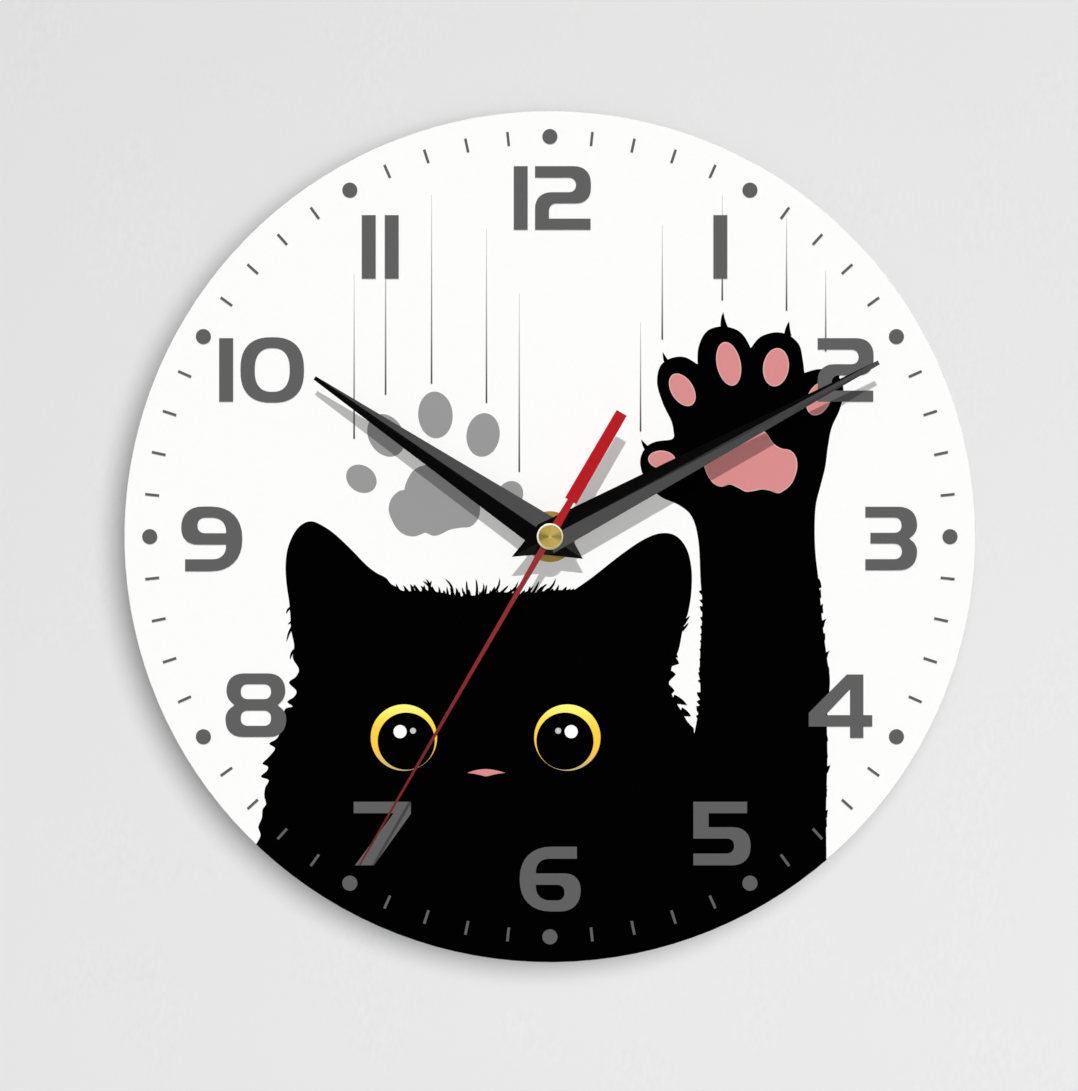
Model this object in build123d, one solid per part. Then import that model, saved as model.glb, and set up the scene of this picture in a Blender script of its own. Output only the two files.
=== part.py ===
from build123d import *
import math
import os

# Round wall clock with a printed dial and a battery quartz movement.
#
# Every part is drawn on a bench: the dial lies face up, +X is the dial's 3 o'clock, +Y its
# 12 o'clock and +Z points out of the dial at the viewer. Z is the distance from the wall.
# save() stands each part up on its way out, so that in the finished frame +Z is up, the dial
# faces -Y, and the origin is the point of the wall behind the axis of the hands.

# ---------------------------------------------------------------- driving dimensions, mm
DIAL_DIAMETER = 250.0
DIAL_THICKNESS = 3.0
CASE_SIDE = 56.0
CASE_DEPTH = 16.5
CASE_WALL = 1.3
CELL_DIAMETER = 14.2
CELL_LENGTH = 50.5

HOUR_HAND_LENGTH = 82.8
HOUR_HAND_TAIL = 11.6
HOUR_HAND_HALF_WIDTHS = (0.58, 5.4)
MINUTE_HAND_LENGTH = 108.3
MINUTE_HAND_TAIL = 12.6
MINUTE_HAND_HALF_WIDTHS = (0.64, 4.76)
HAND_SHOULDER = 1.4
HAND_SHEET = 0.35
HAND_CREASE = 0.9
SECOND_HAND_LENGTH = 110.2
SECOND_HAND_TAIL = 41.5
SECOND_HAND_SHEET = 0.4
CAP_RADIUS = 3.83
WASHER_RADIUS = 7.5
NUT_ACROSS_FLATS = 10.0

# Clock angles of the hands at rest, in degrees clockwise from 12: ten past ten.
HOUR_ANGLE = 304.0
MINUTE_ANGLE = 62.1
SECOND_ANGLE = 210.1

RUNNING_GAP = 0.05
FIXED_GAP = 0.01

# ---------------------------------------------------------------- levels above the wall, mm
COVER_FRONT = 1.2
PLATE = (2.8, 3.8)
CASE_INNER_FRONT = CASE_DEPTH - 1.2
GASKET_FRONT = CASE_DEPTH + 1.0
DIAL_FRONT = GASKET_FRONT + DIAL_THICKNESS
WASHER_FRONT = DIAL_FRONT + 0.5
NUT_FRONT = WASHER_FRONT + 1.8
BUSHING_FRONT = NUT_FRONT + 1.7
HOUR_HAND_BACK = BUSHING_FRONT + 1.6
HOUR_TUBE_FRONT = HOUR_HAND_BACK + 1.55
MINUTE_HAND_BACK = HOUR_TUBE_FRONT + 0.55
MINUTE_TUBE_FRONT = MINUTE_HAND_BACK + 1.6
SECOND_HAND_BACK = MINUTE_TUBE_FRONT + 0.85

# ---------------------------------------------------------------- shafts and bores, mm
BUSHING_RADIUS = 4.0
BUSHING_BORE = 2.6
HOUR_TUBE_RADIUS = 2.55
HOUR_TUBE_BORE = 1.8
MINUTE_TUBE_RADIUS = 1.75
SECOND_ARBOR_RADIUS = 0.5
THIN_ARBOR_RADIUS = 0.35
KNOB_STEM_RADIUS = 1.2
KNOB_PIVOT_RADIUS = 0.8
STUD_RADIUS = 0.75

# ---------------------------------------------------------------- gear train
# Motor train: rotor 10 > 50 intermediate 10 > 60 seconds 8 > 60 third 8 > 64 centre.
# Motion work: cannon 10 > 30 minute wheel 8 > 32 hour wheel, and 30 > 10 setting knob.
ROTOR_MODULE = 0.22
SECONDS_MODULE = 0.27
CENTRE_MODULE = 0.255
MOTION_MODULE = 0.4
PRESSURE_ANGLE = math.radians(30)
ADDENDUM = 0.8
DEDENDUM = 1.05
TOOTH_THINNING = 0.12
FLANK_STEPS = 3


def towards(angle, distance, start=(0.0, 0.0)):
    """The point at a distance from start, at an angle in degrees counter-clockwise from +X."""
    turn = math.radians(angle)
    return (start[0] + distance * math.cos(turn), start[1] + distance * math.sin(turn))


def spacing(teeth_a, teeth_b, module):
    """Distance between the axes of two meshing gears."""
    return (teeth_a + teeth_b) * module / 2


THIRD_LINE = 180.0
INTERMEDIATE_LINE = 90.0
ROTOR_LINE = 120.0
MOTION_LINE = 0.0
KNOB_LINE = 50.0

CENTRE = (0.0, 0.0)
THIRD = towards(THIRD_LINE, spacing(8, 60, SECONDS_MODULE))
INTERMEDIATE = towards(INTERMEDIATE_LINE, spacing(10, 60, SECONDS_MODULE))
ROTOR = towards(ROTOR_LINE, spacing(10, 50, ROTOR_MODULE), INTERMEDIATE)
MOTION = towards(MOTION_LINE, spacing(10, 30, MOTION_MODULE))
KNOB = towards(KNOB_LINE, spacing(10, 30, MOTION_MODULE), MOTION)

# Depths of the gears, rear face and front face.
INTERMEDIATE_WHEEL = (4.1, 4.7)
INTERMEDIATE_PINION = (4.7, 6.3)
ROTOR_PINION = (4.0, 5.2)
SECONDS_WHEEL = (5.2, 5.9)
SECONDS_PINION = (5.9, 7.6)
THIRD_WHEEL = (6.5, 7.2)
THIRD_PINION = (7.2, 9.3)
CENTRE_WHEEL = (8.0, 8.8)
CANNON_PINION = (9.4, 11.4)
KNOB_PINION = (9.6, 11.2)
MINUTE_WHEEL = (10.0, 10.8)
MINUTE_PINION = (10.8, 13.2)
HOUR_WHEEL = (12.0, 12.8)

# Motor and circuit board.
STATOR = (8.2, 9.2)
CORE = (9.2, 10.2)
COIL_Y = 23.0
COIL_HALF_LENGTH = 9.5
COIL_FLANGE_RADIUS = 3.2
MAGNET = (7.4, 9.9)
MAGNET_RADIUS = 2.8
BOARD = (9.2, 10.2)
BOARD_EDGES = (17.8, 25.8, -8.0, 17.0)

# Battery bay and the wall between it and the train.
INNER = CASE_SIDE / 2 - CASE_WALL
DIVIDER = (-11.1, -9.9)
CELL_Y = (DIVIDER[0] - INNER) / 2
CELL_Z = 8.1
CELL_RIGHT_END = INNER - 0.4
HANGER_EYE_RADIUS = 3.0
HANGER_EYE_Y = CASE_SIDE / 2 + 5.5
HANGER_THICKNESS = 2.0

PLATE_POSTS = ((-18.9, 18.6), (-18.0, -8.2), (15.5, -8.2), (18.9, 18.6))
STATOR_POSTS = ((-14.5, 13.5), (14.5, 13.5))
BOARD_POSTS = ((20.2, 14.8), (23.6, -1.5))
KNOB_HEAD_RADIUS = 6.0


# ---------------------------------------------------------------- small shape helpers
def disc(radius, levels, at=CENTRE):
    low, high = levels
    return Pos(at[0], at[1], (low + high) / 2) * Cylinder(radius, high - low)


def ring(outer, inner, levels, at=CENTRE):
    return disc(outer, levels, at) - disc(inner, (levels[0] - 1, levels[1] + 1), at)


def slab(x, y, z):
    """A block between two values on each axis."""
    centre = [(side[0] + side[1]) / 2 for side in (x, y, z)]
    return Pos(*centre) * Box(x[1] - x[0], y[1] - y[0], z[1] - z[0])


def prism(points, levels):
    """An outline in the dial's plane, carried from one level to another."""
    low, high = levels
    face = make_face(Polyline(*points, close=True))
    return Pos(0, 0, low) * extrude(face, high - low, dir=(0, 0, 1))


def turned(profile, at=CENTRE):
    """A lathe part: the profile lists (radius, level) corners."""
    corners = [(radius, 0, level) for radius, level in profile]
    face = make_face(Polyline(*corners, close=True))
    return Pos(at[0], at[1], 0) * revolve(face, Axis.Z)


def save(name, *shapes):
    """Stands a part up, dial facing -Y, and writes it as one node."""
    solids = [Rot(90, 0, 0) * solid for shape in shapes for solid in shape.solids()]
    export_step(Compound(children=solids), os.path.join("parts", name + ".step"))


# ---------------------------------------------------------------- gears
def involute(angle):
    return math.tan(angle) - angle


def gear(teeth, module, levels, at=CENTRE, phase=0.0):
    """An involute gear whose first tooth points along phase, in radians."""
    pitch = teeth * module / 2
    base = pitch * math.cos(PRESSURE_ANGLE)
    tip = pitch + ADDENDUM * module
    root = pitch - DEDENDUM * module
    half_tooth = (math.pi / 2 - TOOTH_THINNING) / teeth

    def half_angle(radius):
        roll = math.acos(base / max(radius, base))
        return half_tooth + involute(PRESSURE_ANGLE) - involute(roll)

    start = max(base, root)
    flank = [start + (tip - start) * step / FLANK_STEPS for step in range(FLANK_STEPS + 1)]
    if root < base:
        flank.insert(0, root)
    points = []
    for tooth in range(teeth):
        centre = phase + 2 * math.pi * tooth / teeth
        sides = [(r, centre - half_angle(r)) for r in flank]
        sides += [(r, centre + half_angle(r)) for r in reversed(flank)]
        points += [(at[0] + r * math.cos(a), at[1] + r * math.sin(a)) for r, a in sides]
    return prism(points, levels)


def meshed(line, driver_teeth, driver_phase, teeth):
    """Phase of a gear whose gap faces the driver's tooth; line is the driver-to-gear angle."""
    theta = math.radians(line)
    offset = (driver_phase - theta) * driver_teeth / (2 * math.pi)
    return theta + math.pi + (0.5 - offset) * 2 * math.pi / teeth


def pierced(wheel, count, circle, hole, levels, at):
    """Cuts a ring of lightening holes through a wheel."""
    through = (levels[0] - 1, levels[1] + 1)
    for step in range(count):
        wheel -= disc(hole, through, towards(360 / count * (step + 0.5), circle, at))
    return wheel


SECONDS_PHASE = 0.0
THIRD_WHEEL_PHASE = meshed(THIRD_LINE, 8, SECONDS_PHASE, 60)
CENTRE_WHEEL_PHASE = meshed(THIRD_LINE + 180, 8, 0.0, 64)
INTERMEDIATE_PINION_PHASE = meshed(INTERMEDIATE_LINE, 60, SECONDS_PHASE, 10)
ROTOR_PHASE = meshed(ROTOR_LINE, 50, 0.0, 10)
MINUTE_WHEEL_PHASE = meshed(MOTION_LINE, 10, 0.0, 30)
HOUR_WHEEL_PHASE = meshed(MOTION_LINE + 180, 8, 0.0, 32)
KNOB_PHASE = meshed(KNOB_LINE, 30, MINUTE_WHEEL_PHASE, 10)


def seconds_wheel():
    wheel = gear(60, SECONDS_MODULE, SECONDS_WHEEL, CENTRE, SECONDS_PHASE)
    wheel = pierced(wheel, 5, 4.9, 1.6, SECONDS_WHEEL, CENTRE)
    wheel += gear(8, SECONDS_MODULE, SECONDS_PINION, CENTRE, SECONDS_PHASE)
    wheel += disc(1.4, (SECONDS_WHEEL[0] - 0.5, SECONDS_WHEEL[0]))
    return wheel - disc(SECOND_ARBOR_RADIUS + FIXED_GAP, (3, 9))


def seconds_arbor():
    pivot = disc(SECOND_ARBOR_RADIUS - 0.1, (PLATE[0], PLATE[1] + 0.2))
    return pivot + disc(SECOND_ARBOR_RADIUS, (PLATE[1] + 0.2, SECOND_HAND_BACK + 1.0))


def third_wheel():
    wheel = gear(60, SECONDS_MODULE, THIRD_WHEEL, THIRD, THIRD_WHEEL_PHASE)
    wheel = pierced(wheel, 5, 4.9, 1.6, THIRD_WHEEL, THIRD)
    wheel += gear(8, CENTRE_MODULE, THIRD_PINION, THIRD, 0.0)
    return wheel - disc(THIN_ARBOR_RADIUS + FIXED_GAP, (6, 10), THIRD)


def third_arbor():
    return disc(THIN_ARBOR_RADIUS, (PLATE[0] + 0.1, 11.2), THIRD)


def intermediate_wheel():
    wheel = gear(50, ROTOR_MODULE, INTERMEDIATE_WHEEL, INTERMEDIATE, 0.0)
    wheel = pierced(wheel, 4, 3.3, 1.1, INTERMEDIATE_WHEEL, INTERMEDIATE)
    pinion_phase = INTERMEDIATE_PINION_PHASE
    wheel += gear(10, SECONDS_MODULE, INTERMEDIATE_PINION, INTERMEDIATE, pinion_phase)
    return wheel - disc(THIN_ARBOR_RADIUS + FIXED_GAP, (3, 8), INTERMEDIATE)


def intermediate_arbor():
    return disc(THIN_ARBOR_RADIUS, (PLATE[0] + 0.1, 8.4), INTERMEDIATE)


def rotor_pinion():
    pinion = gear(10, ROTOR_MODULE, ROTOR_PINION, ROTOR, ROTOR_PHASE)
    pinion += disc(1.0, (ROTOR_PINION[1], MAGNET[0]), ROTOR)
    pinion += disc(1.2, MAGNET, ROTOR)
    pinion += disc(THIN_ARBOR_RADIUS, (PLATE[0] + 0.1, ROTOR_PINION[0]), ROTOR)
    return pinion + disc(THIN_ARBOR_RADIUS, (MAGNET[1], 11.8), ROTOR)


def rotor_magnet():
    return ring(MAGNET_RADIUS, 1.2 + FIXED_GAP, MAGNET, ROTOR)


def centre_wheel():
    wheel = gear(64, CENTRE_MODULE, CENTRE_WHEEL, CENTRE, CENTRE_WHEEL_PHASE)
    wheel = pierced(wheel, 6, 5.2, 1.5, CENTRE_WHEEL, CENTRE)
    return wheel - disc(1.6 + RUNNING_GAP, (7, 10))


def clutch_spring():
    """Dished steel washer that presses the centre wheel against the minute arbor."""
    low, high = CENTRE_WHEEL[1] + 0.02, CANNON_PINION[0] - 0.05
    thickness = 0.15
    return turned(
        [(3.6, low), (3.6, low + thickness), (1.9, high), (1.7, high), (1.7, high - thickness)]
    )


def minute_arbor():
    arbor = disc(1.6, (SECONDS_PINION[1] + 0.2, CANNON_PINION[0]))
    arbor += gear(10, MOTION_MODULE, CANNON_PINION, CENTRE, 0.0)
    arbor += disc(MINUTE_TUBE_RADIUS, (CANNON_PINION[1], MINUTE_TUBE_FRONT))
    return arbor - disc(SECOND_ARBOR_RADIUS + RUNNING_GAP, (7, MINUTE_TUBE_FRONT + 1))


def minute_wheel():
    wheel = gear(30, MOTION_MODULE, MINUTE_WHEEL, MOTION, MINUTE_WHEEL_PHASE)
    wheel = pierced(wheel, 4, 3.8, 1.2, MINUTE_WHEEL, MOTION)
    wheel += gear(8, MOTION_MODULE, MINUTE_PINION, MOTION, 0.0)
    return wheel - disc(STUD_RADIUS + RUNNING_GAP, (9, 14), MOTION)


def hour_wheel():
    wheel = gear(32, MOTION_MODULE, HOUR_WHEEL, CENTRE, HOUR_WHEEL_PHASE)
    wheel += disc(3.4, (HOUR_WHEEL[1], HOUR_WHEEL[1] + 0.8))
    wheel += disc(HOUR_TUBE_RADIUS, (HOUR_WHEEL[1], HOUR_TUBE_FRONT))
    return wheel - disc(HOUR_TUBE_BORE, (11, HOUR_TUBE_FRONT + 1))


def knurled(radius, grips, depth, levels, at):
    """A finger wheel: its rim dips between the grips along a cosine."""
    points = []
    samples = grips * 6
    for step in range(samples):
        angle = 2 * math.pi * step / samples
        reach = radius - depth * (0.5 - 0.5 * math.cos(grips * angle))
        points.append((at[0] + reach * math.cos(angle), at[1] + reach * math.sin(angle)))
    return prism(points, levels)


def setting_knob():
    knob = knurled(KNOB_HEAD_RADIUS, 24, 0.45, (0.3, 2.4), KNOB)
    knob -= ring(KNOB_HEAD_RADIUS - 1.3, 2.0, (-0.7, 1.0), KNOB)
    grip = slab((KNOB[0] - 4.9, KNOB[0] + 4.9), (KNOB[1] - 0.7, KNOB[1] + 0.7), (0.3, 1.2))
    knob += grip
    knob += disc(KNOB_STEM_RADIUS, (2.4, KNOB_PINION[0]), KNOB)
    knob += gear(10, MOTION_MODULE, KNOB_PINION, KNOB, KNOB_PHASE)
    return knob + disc(KNOB_PIVOT_RADIUS, (KNOB_PINION[1], 13.4), KNOB)


# ---------------------------------------------------------------- movement, fixed parts
def bored_post(at, radius, hole, levels, depth):
    """A post on the case front with a blind pivot hole in its rear end."""
    post = disc(radius, levels, at)
    return post - disc(hole, (levels[0] - 1, levels[0] + depth), at)


def movement_case():
    half = CASE_SIDE / 2
    shell = Pos(0, 0, CASE_DEPTH / 2) * Box(CASE_SIDE, CASE_SIDE, CASE_DEPTH)
    shell = fillet(shell.edges().filter_by(Axis.Z), 3.0)
    shell = chamfer(shell.faces().sort_by(Axis.Z)[-1].edges(), 0.6)
    shell -= slab((-INNER, INNER), (DIVIDER[1], INNER), (-1, CASE_INNER_FRONT))
    shell -= slab((-INNER, INNER), (-INNER, DIVIDER[0]), (-1, CASE_INNER_FRONT))
    # The divider stops short of the cover, and opens at both ends for the contact strips.
    shell -= slab((-INNER, INNER), (DIVIDER[0] - 1, DIVIDER[1] + 1), (-1, COVER_FRONT + 0.1))
    for side in (-1, 1):
        ends = sorted((side * INNER, side * (INNER - 2.4)))
        shell -= slab(ends, (DIVIDER[0] - 0.5, DIVIDER[1] + 0.5), (9.0, 14.2))
    # Windows for the cover's clips, and finger scallops that free the cell.
    for x in (-1, 1):
        for y in CLIP_Y:
            wall = sorted((x * (INNER - 1), x * (half + 1)))
            shell -= slab(wall, (y - CLIP_HALF - 0.2, y + CLIP_HALF + 0.2), (4.0, 5.6))
    shell -= slab((-9, 9), (-half - 1, -INNER + 0.5), (-1, 6.0))
    shell += hanger()
    # Posts that carry the train plate, the stator and the circuit board.
    for at in PLATE_POSTS:
        shell += disc(1.2, (PLATE[1] + 0.02, CASE_INNER_FRONT), at)
        shell += disc(0.55, (PLATE[0] + 0.1, PLATE[1] + 0.02), at)
    for at in STATOR_POSTS:
        shell += disc(1.5, (STATOR[1] + 0.02, CASE_INNER_FRONT), at)
        shell += disc(0.8, (STATOR[0] - 0.6, STATOR[1] + 0.02), at)
    for at in BOARD_POSTS:
        shell += disc(1.3, (BOARD[1] + 0.02, CASE_INNER_FRONT), at)
        shell += disc(0.6, (BOARD[0] - 0.6, BOARD[1] + 0.02), at)
    # Front bearings of the train.
    pivot = THIN_ARBOR_RADIUS + RUNNING_GAP
    shell += bored_post(THIRD, 1.4, pivot, (THIRD_PINION[1] + 0.5, CASE_INNER_FRONT), 1.7)
    shell += bored_post(INTERMEDIATE, 0.95, pivot, (7.0, CASE_INNER_FRONT), 1.6)
    shell += bored_post(ROTOR, 1.2, pivot, (10.6, CASE_INNER_FRONT), 1.5)
    shell += bored_post(KNOB, 1.8, KNOB_PIVOT_RADIUS + RUNNING_GAP, (11.8, CASE_INNER_FRONT), 2.0)
    shell += disc(STUD_RADIUS, (MINUTE_WHEEL[0] - 0.3, CASE_INNER_FRONT), MOTION)
    return shell - disc(BUSHING_RADIUS + FIXED_GAP, (CASE_INNER_FRONT - 1, CASE_DEPTH + 1))


def hanger():
    """The moulded loop that hangs on a nail, with a notch that centres the nail."""
    levels = (0, HANGER_THICKNESS)
    eye = (0.0, HANGER_EYE_Y)
    loop = disc(6.5, levels, eye) + slab((-6.5, 6.5), (INNER, HANGER_EYE_Y), levels)
    loop -= disc(HANGER_EYE_RADIUS, (-1, HANGER_THICKNESS + 1), eye)
    notch_top = HANGER_EYE_Y + HANGER_EYE_RADIUS + 0.9
    return loop - slab((-0.8, 0.8), (HANGER_EYE_Y, notch_top), (-1, HANGER_THICKNESS + 1))


CLIP_Y = (-3.0, 18.0)
CLIP_HALF = 2.5


def back_cover():
    outline = slab((-INNER + 0.1, INNER - 0.1), (DIVIDER[0] + 0.1, INNER - 0.1), (0, COVER_FRONT))
    cover = chamfer(outline.faces().sort_by(Axis.Z)[0].edges(), 0.3)
    cover -= disc(KNOB_HEAD_RADIUS + 0.7, (-1, COVER_FRONT + 1), KNOB)
    # Ribs that hold the train plate down on its posts.
    for at in PLATE_POSTS:
        cover += disc(1.4, (COVER_FRONT, PLATE[0] - 0.02), at)
    for side in (-1, 1):
        for y in CLIP_Y:
            outer = side * (INNER - 0.1)
            leg = sorted((outer, outer - side * 0.9))
            hook = sorted((outer, outer + side * 0.7))
            cover += slab(leg, (y - CLIP_HALF, y + CLIP_HALF), (COVER_FRONT, 5.4))
            cover += slab(hook, (y - CLIP_HALF, y + CLIP_HALF), (4.4, 5.4))
    return cover - setting_arrow()


def setting_arrow():
    """The groove beside the knob that shows which way it sets the hands forward."""
    middle = KNOB_HEAD_RADIUS + 2.4
    depth = (-0.5, 0.3)
    start, end = 15.0, 75.0
    arc = ring(middle + 0.3, middle - 0.3, depth, KNOB)
    wedge = [KNOB, towards(start, 20, KNOB), towards(end, 20, KNOB)]
    head = [towards(start, middle - 1.3, KNOB), towards(start, middle + 1.3, KNOB)]
    head.append(towards(start - 14, middle, KNOB))
    return (arc & prism(wedge, depth)) + prism(head, depth)


def train_plate():
    plate = slab((-20.4, 20.4), (-9.4, 20.1), PLATE)
    plate = fillet(plate.edges().filter_by(Axis.Z), 1.5)
    through = (PLATE[0] - 1, PLATE[1] + 1)
    for at in PLATE_POSTS:
        plate -= disc(0.6, through, at)
    for at in (THIRD, INTERMEDIATE, ROTOR):
        plate -= disc(THIN_ARBOR_RADIUS + RUNNING_GAP, through, at)
    plate -= disc(SECOND_ARBOR_RADIUS - 0.1 + RUNNING_GAP, through)
    return plate - disc(KNOB_STEM_RADIUS + RUNNING_GAP, through, KNOB)


def threaded_bushing():
    """Flanged brass tube; ring grooves stand in for its fine thread."""
    pitch, depth = 0.75, 0.22
    flange = CASE_INNER_FRONT - 1.1
    profile = [(BUSHING_BORE, flange), (6.0, flange), (6.0, CASE_INNER_FRONT - 0.02)]
    profile += [(BUSHING_RADIUS, CASE_INNER_FRONT - 0.02)]
    level = GASKET_FRONT
    profile.append((BUSHING_RADIUS, level))
    while level + pitch < BUSHING_FRONT - 0.3:
        profile.append((BUSHING_RADIUS - depth, level + pitch / 2))
        profile.append((BUSHING_RADIUS, level + pitch))
        level += pitch
    profile += [(BUSHING_RADIUS, BUSHING_FRONT - 0.3), (BUSHING_RADIUS - 0.3, BUSHING_FRONT)]
    profile += [(BUSHING_BORE, BUSHING_FRONT)]
    return turned(profile)


def rubber_gasket():
    return ring(9.0, BUSHING_RADIUS + 0.15, (CASE_DEPTH, GASKET_FRONT))


def stator():
    left, right, low, high = -17.0, 17.0, 11.0, 19.2
    sheet = slab((left, right), (low, high), STATOR)
    for side in (-1, 1):
        arm = sorted((side * 11.0, side * 17.0))
        sheet += slab(arm, (high, COIL_Y + 2.6), STATOR)
    through = (STATOR[0] - 1, STATOR[1] + 1)
    sheet -= disc(MAGNET_RADIUS + 0.5, through, ROTOR)
    # Two rest notches in the rotor's hole, and two necks that split the poles.
    for angle in (45, 225):
        sheet -= disc(0.5, through, towards(angle, MAGNET_RADIUS + 0.5, ROTOR))
    sheet -= slab((ROTOR[0] - 0.8, ROTOR[0] + 0.8), (low - 1, low + 0.6), through)
    sheet -= slab((ROTOR[0] - 0.8, ROTOR[0] + 0.8), (high - 0.4, high + 1), through)
    for at in STATOR_POSTS:
        sheet -= disc(0.85, through, at)
    return sheet


def coil_core():
    """Iron bar through the bobbin, lying on the stator's two arms."""
    bar = slab((-16.5, 16.5), (COIL_Y - 1.3, COIL_Y + 1.3), CORE)
    for side in (-1, 1):
        pad = sorted((side * 11.5, side * 16.5))
        bar += slab(pad, (COIL_Y - 2.4, COIL_Y + 2.4), CORE)
    return bar


def coil_axis_ring(outer, x):
    """A disc across the coil's axis, between two values of x."""
    middle = (CORE[0] + CORE[1]) / 2
    return Pos((x[0] + x[1]) / 2, COIL_Y, middle) * Rot(0, 90, 0) * Cylinder(outer, x[1] - x[0])


def core_slot(margin):
    across = (COIL_Y - 1.3 - margin, COIL_Y + 1.3 + margin)
    return slab((-12, 12), across, (CORE[0] - margin, CORE[1] + margin))


def coil_bobbin():
    spool = coil_axis_ring(1.9, (-COIL_HALF_LENGTH, COIL_HALF_LENGTH))
    for side in (-1, 1):
        flange = sorted((side * COIL_HALF_LENGTH, side * (COIL_HALF_LENGTH - 0.8)))
        spool += coil_axis_ring(COIL_FLANGE_RADIUS, flange)
    return spool - core_slot(0.05)


def coil_winding():
    inside = COIL_HALF_LENGTH - 0.85
    return coil_axis_ring(2.9, (-inside, inside)) - coil_axis_ring(1.92, (-inside - 1, inside + 1))


def coil_leads():
    """Two enamelled wires from the winding to the board."""
    wires = []
    for offset in (0.0, 1.6):
        start = (COIL_HALF_LENGTH + 0.3, COIL_Y - 3.0 - offset / 3, 11.2)
        bend = (15.0, 18.4 - offset, 12.4)
        end = (19.0 + offset, 12.4, BOARD[1] + 0.2)
        path = Spline(start, bend, end)
        section = Plane(origin=path @ 0, z_dir=path % 0) * Circle(0.12)
        wires.append(sweep(section, path=path))
    return wires


def circuit_board():
    left, right, low, high = BOARD_EDGES
    board = slab((left, right), (low, high), BOARD)
    for at in BOARD_POSTS:
        board -= disc(0.65, (BOARD[0] - 1, BOARD[1] + 1), at)
    return board


def chip():
    """A dome of black resin over the clock circuit."""
    front = BOARD[1] + 0.02
    rise, reach = 1.0, 2.3
    radius = (rise * rise + reach * reach) / (2 * rise)
    dome = Pos(21.8, 4.5, front + rise - radius) * Sphere(radius)
    return dome & slab((18, 26), (0, 9), (front, front + rise + 1))


def crystal():
    """Quartz crystal in a small can, lying on the board."""
    can = Pos(21.6, 10.4, BOARD[1] + 1.05) * Rot(0, 90, 0) * Cylinder(1.0, 5.6)
    return fillet(can.edges(), 0.25)


def contact_positive():
    """Sheet strip from the cell's cap to the board."""
    sheet = (INNER - 0.35, INNER - 0.05)
    plate = slab(sheet, (CELL_Y - 4.5, DIVIDER[0] - 0.6), (3.5, 13.8))
    plate += slab(sheet, (DIVIDER[0] - 0.7, -5.5), (10.3, 13.8))
    return plate + slab((23.4, sheet[1]), (-7.6, -5.5), (BOARD[1] + 0.02, BOARD[1] + 0.32))


def contact_negative():
    """Bowed leaf against the can, and a long strip beside the divider to the board."""
    sheet = (-INNER + 0.05, -INNER + 0.35)
    plate = slab(sheet, (CELL_Y - 4.5, DIVIDER[0] - 0.6), (3.5, 13.8))
    bow = 1.9
    reach = 4.2
    radius = (bow * bow + reach * reach) / (2 * bow)
    centre = (sheet[1] + bow - radius, CELL_Y)
    leaf = ring(radius, radius - 0.3, (5.5, 10.7), centre)
    plate += leaf & slab((sheet[1] - 0.1, 0), (CELL_Y - 6, CELL_Y + 6), (5, 11))
    plate += slab(sheet, (DIVIDER[0] - 0.7, DIVIDER[1] + 0.4), (10.6, 13.8))
    strip = (DIVIDER[1] + 0.1, DIVIDER[1] + 0.4)
    plate += slab((sheet[0], 22.0), strip, (11.0, 13.6))
    plate += slab((19.4, 22.0), strip, (BOARD[1] + 0.02, 11.0))
    return plate + slab((19.4, 22.0), (strip[0], -5.8), (BOARD[1] + 0.02, BOARD[1] + 0.32))


# ---------------------------------------------------------------- battery
def along_cell(radius, x):
    return Pos((x[0] + x[1]) / 2, CELL_Y, CELL_Z) * Rot(0, 90, 0) * Cylinder(radius, x[1] - x[0])


def battery_cell():
    left = CELL_RIGHT_END - CELL_LENGTH
    shoulder = CELL_RIGHT_END - 1.3
    can = along_cell(CELL_DIAMETER / 2 - 0.15, (left + 0.3, shoulder))
    can = fillet(can.edges(), 0.8)
    cap = along_cell(2.75, (shoulder - 0.5, CELL_RIGHT_END))
    cap = fillet(cap.faces().sort_by(Axis.X)[-1].edges(), 0.5)
    base = along_cell(4.8, (left, left + 1.0))
    return can + cap + base


def battery_sleeve():
    """Printed plastic sleeve shrunk over the can."""
    ends = (CELL_RIGHT_END - CELL_LENGTH + 1.2, CELL_RIGHT_END - 2.2)
    sleeve = along_cell(CELL_DIAMETER / 2, ends)
    return sleeve - along_cell(CELL_DIAMETER / 2 - 0.14, (ends[0] - 1, ends[1] + 1))


# ---------------------------------------------------------------- dial and its fixing
def dial_board():
    radius = DIAL_DIAMETER / 2
    board = disc(radius, (GASKET_FRONT, DIAL_FRONT))
    board = chamfer(board.edges(), 0.15)
    return board - disc(BUSHING_RADIUS + 0.15, (GASKET_FRONT - 1, DIAL_FRONT + 1))


def brass_washer():
    washer = ring(WASHER_RADIUS, BUSHING_RADIUS + 0.1, (DIAL_FRONT, WASHER_FRONT))
    return chamfer(washer.faces().sort_by(Axis.Z)[-1].edges(), 0.12)


def hex_nut():
    """Thin nut, flats up and down, its front corners turned off."""
    corner = NUT_ACROSS_FLATS / math.sqrt(3)
    blank = prism([towards(60 * step, corner) for step in range(6)], (WASHER_FRONT, NUT_FRONT))
    cone = turned(
        [(0, WASHER_FRONT), (corner, WASHER_FRONT), (corner, NUT_FRONT - 0.35)]
        + [(corner - 0.75, NUT_FRONT), (0, NUT_FRONT)]
    )
    return (blank & cone) - disc(BUSHING_RADIUS + 0.06, (WASHER_FRONT - 1, NUT_FRONT + 1))


# ---------------------------------------------------------------- hands
HOUR_COLLAR_NECK = 3.09
MINUTE_COLLAR_NECK = 2.39
COLLAR_LIP = 0.45
COLLAR_RIM = 0.61


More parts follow.
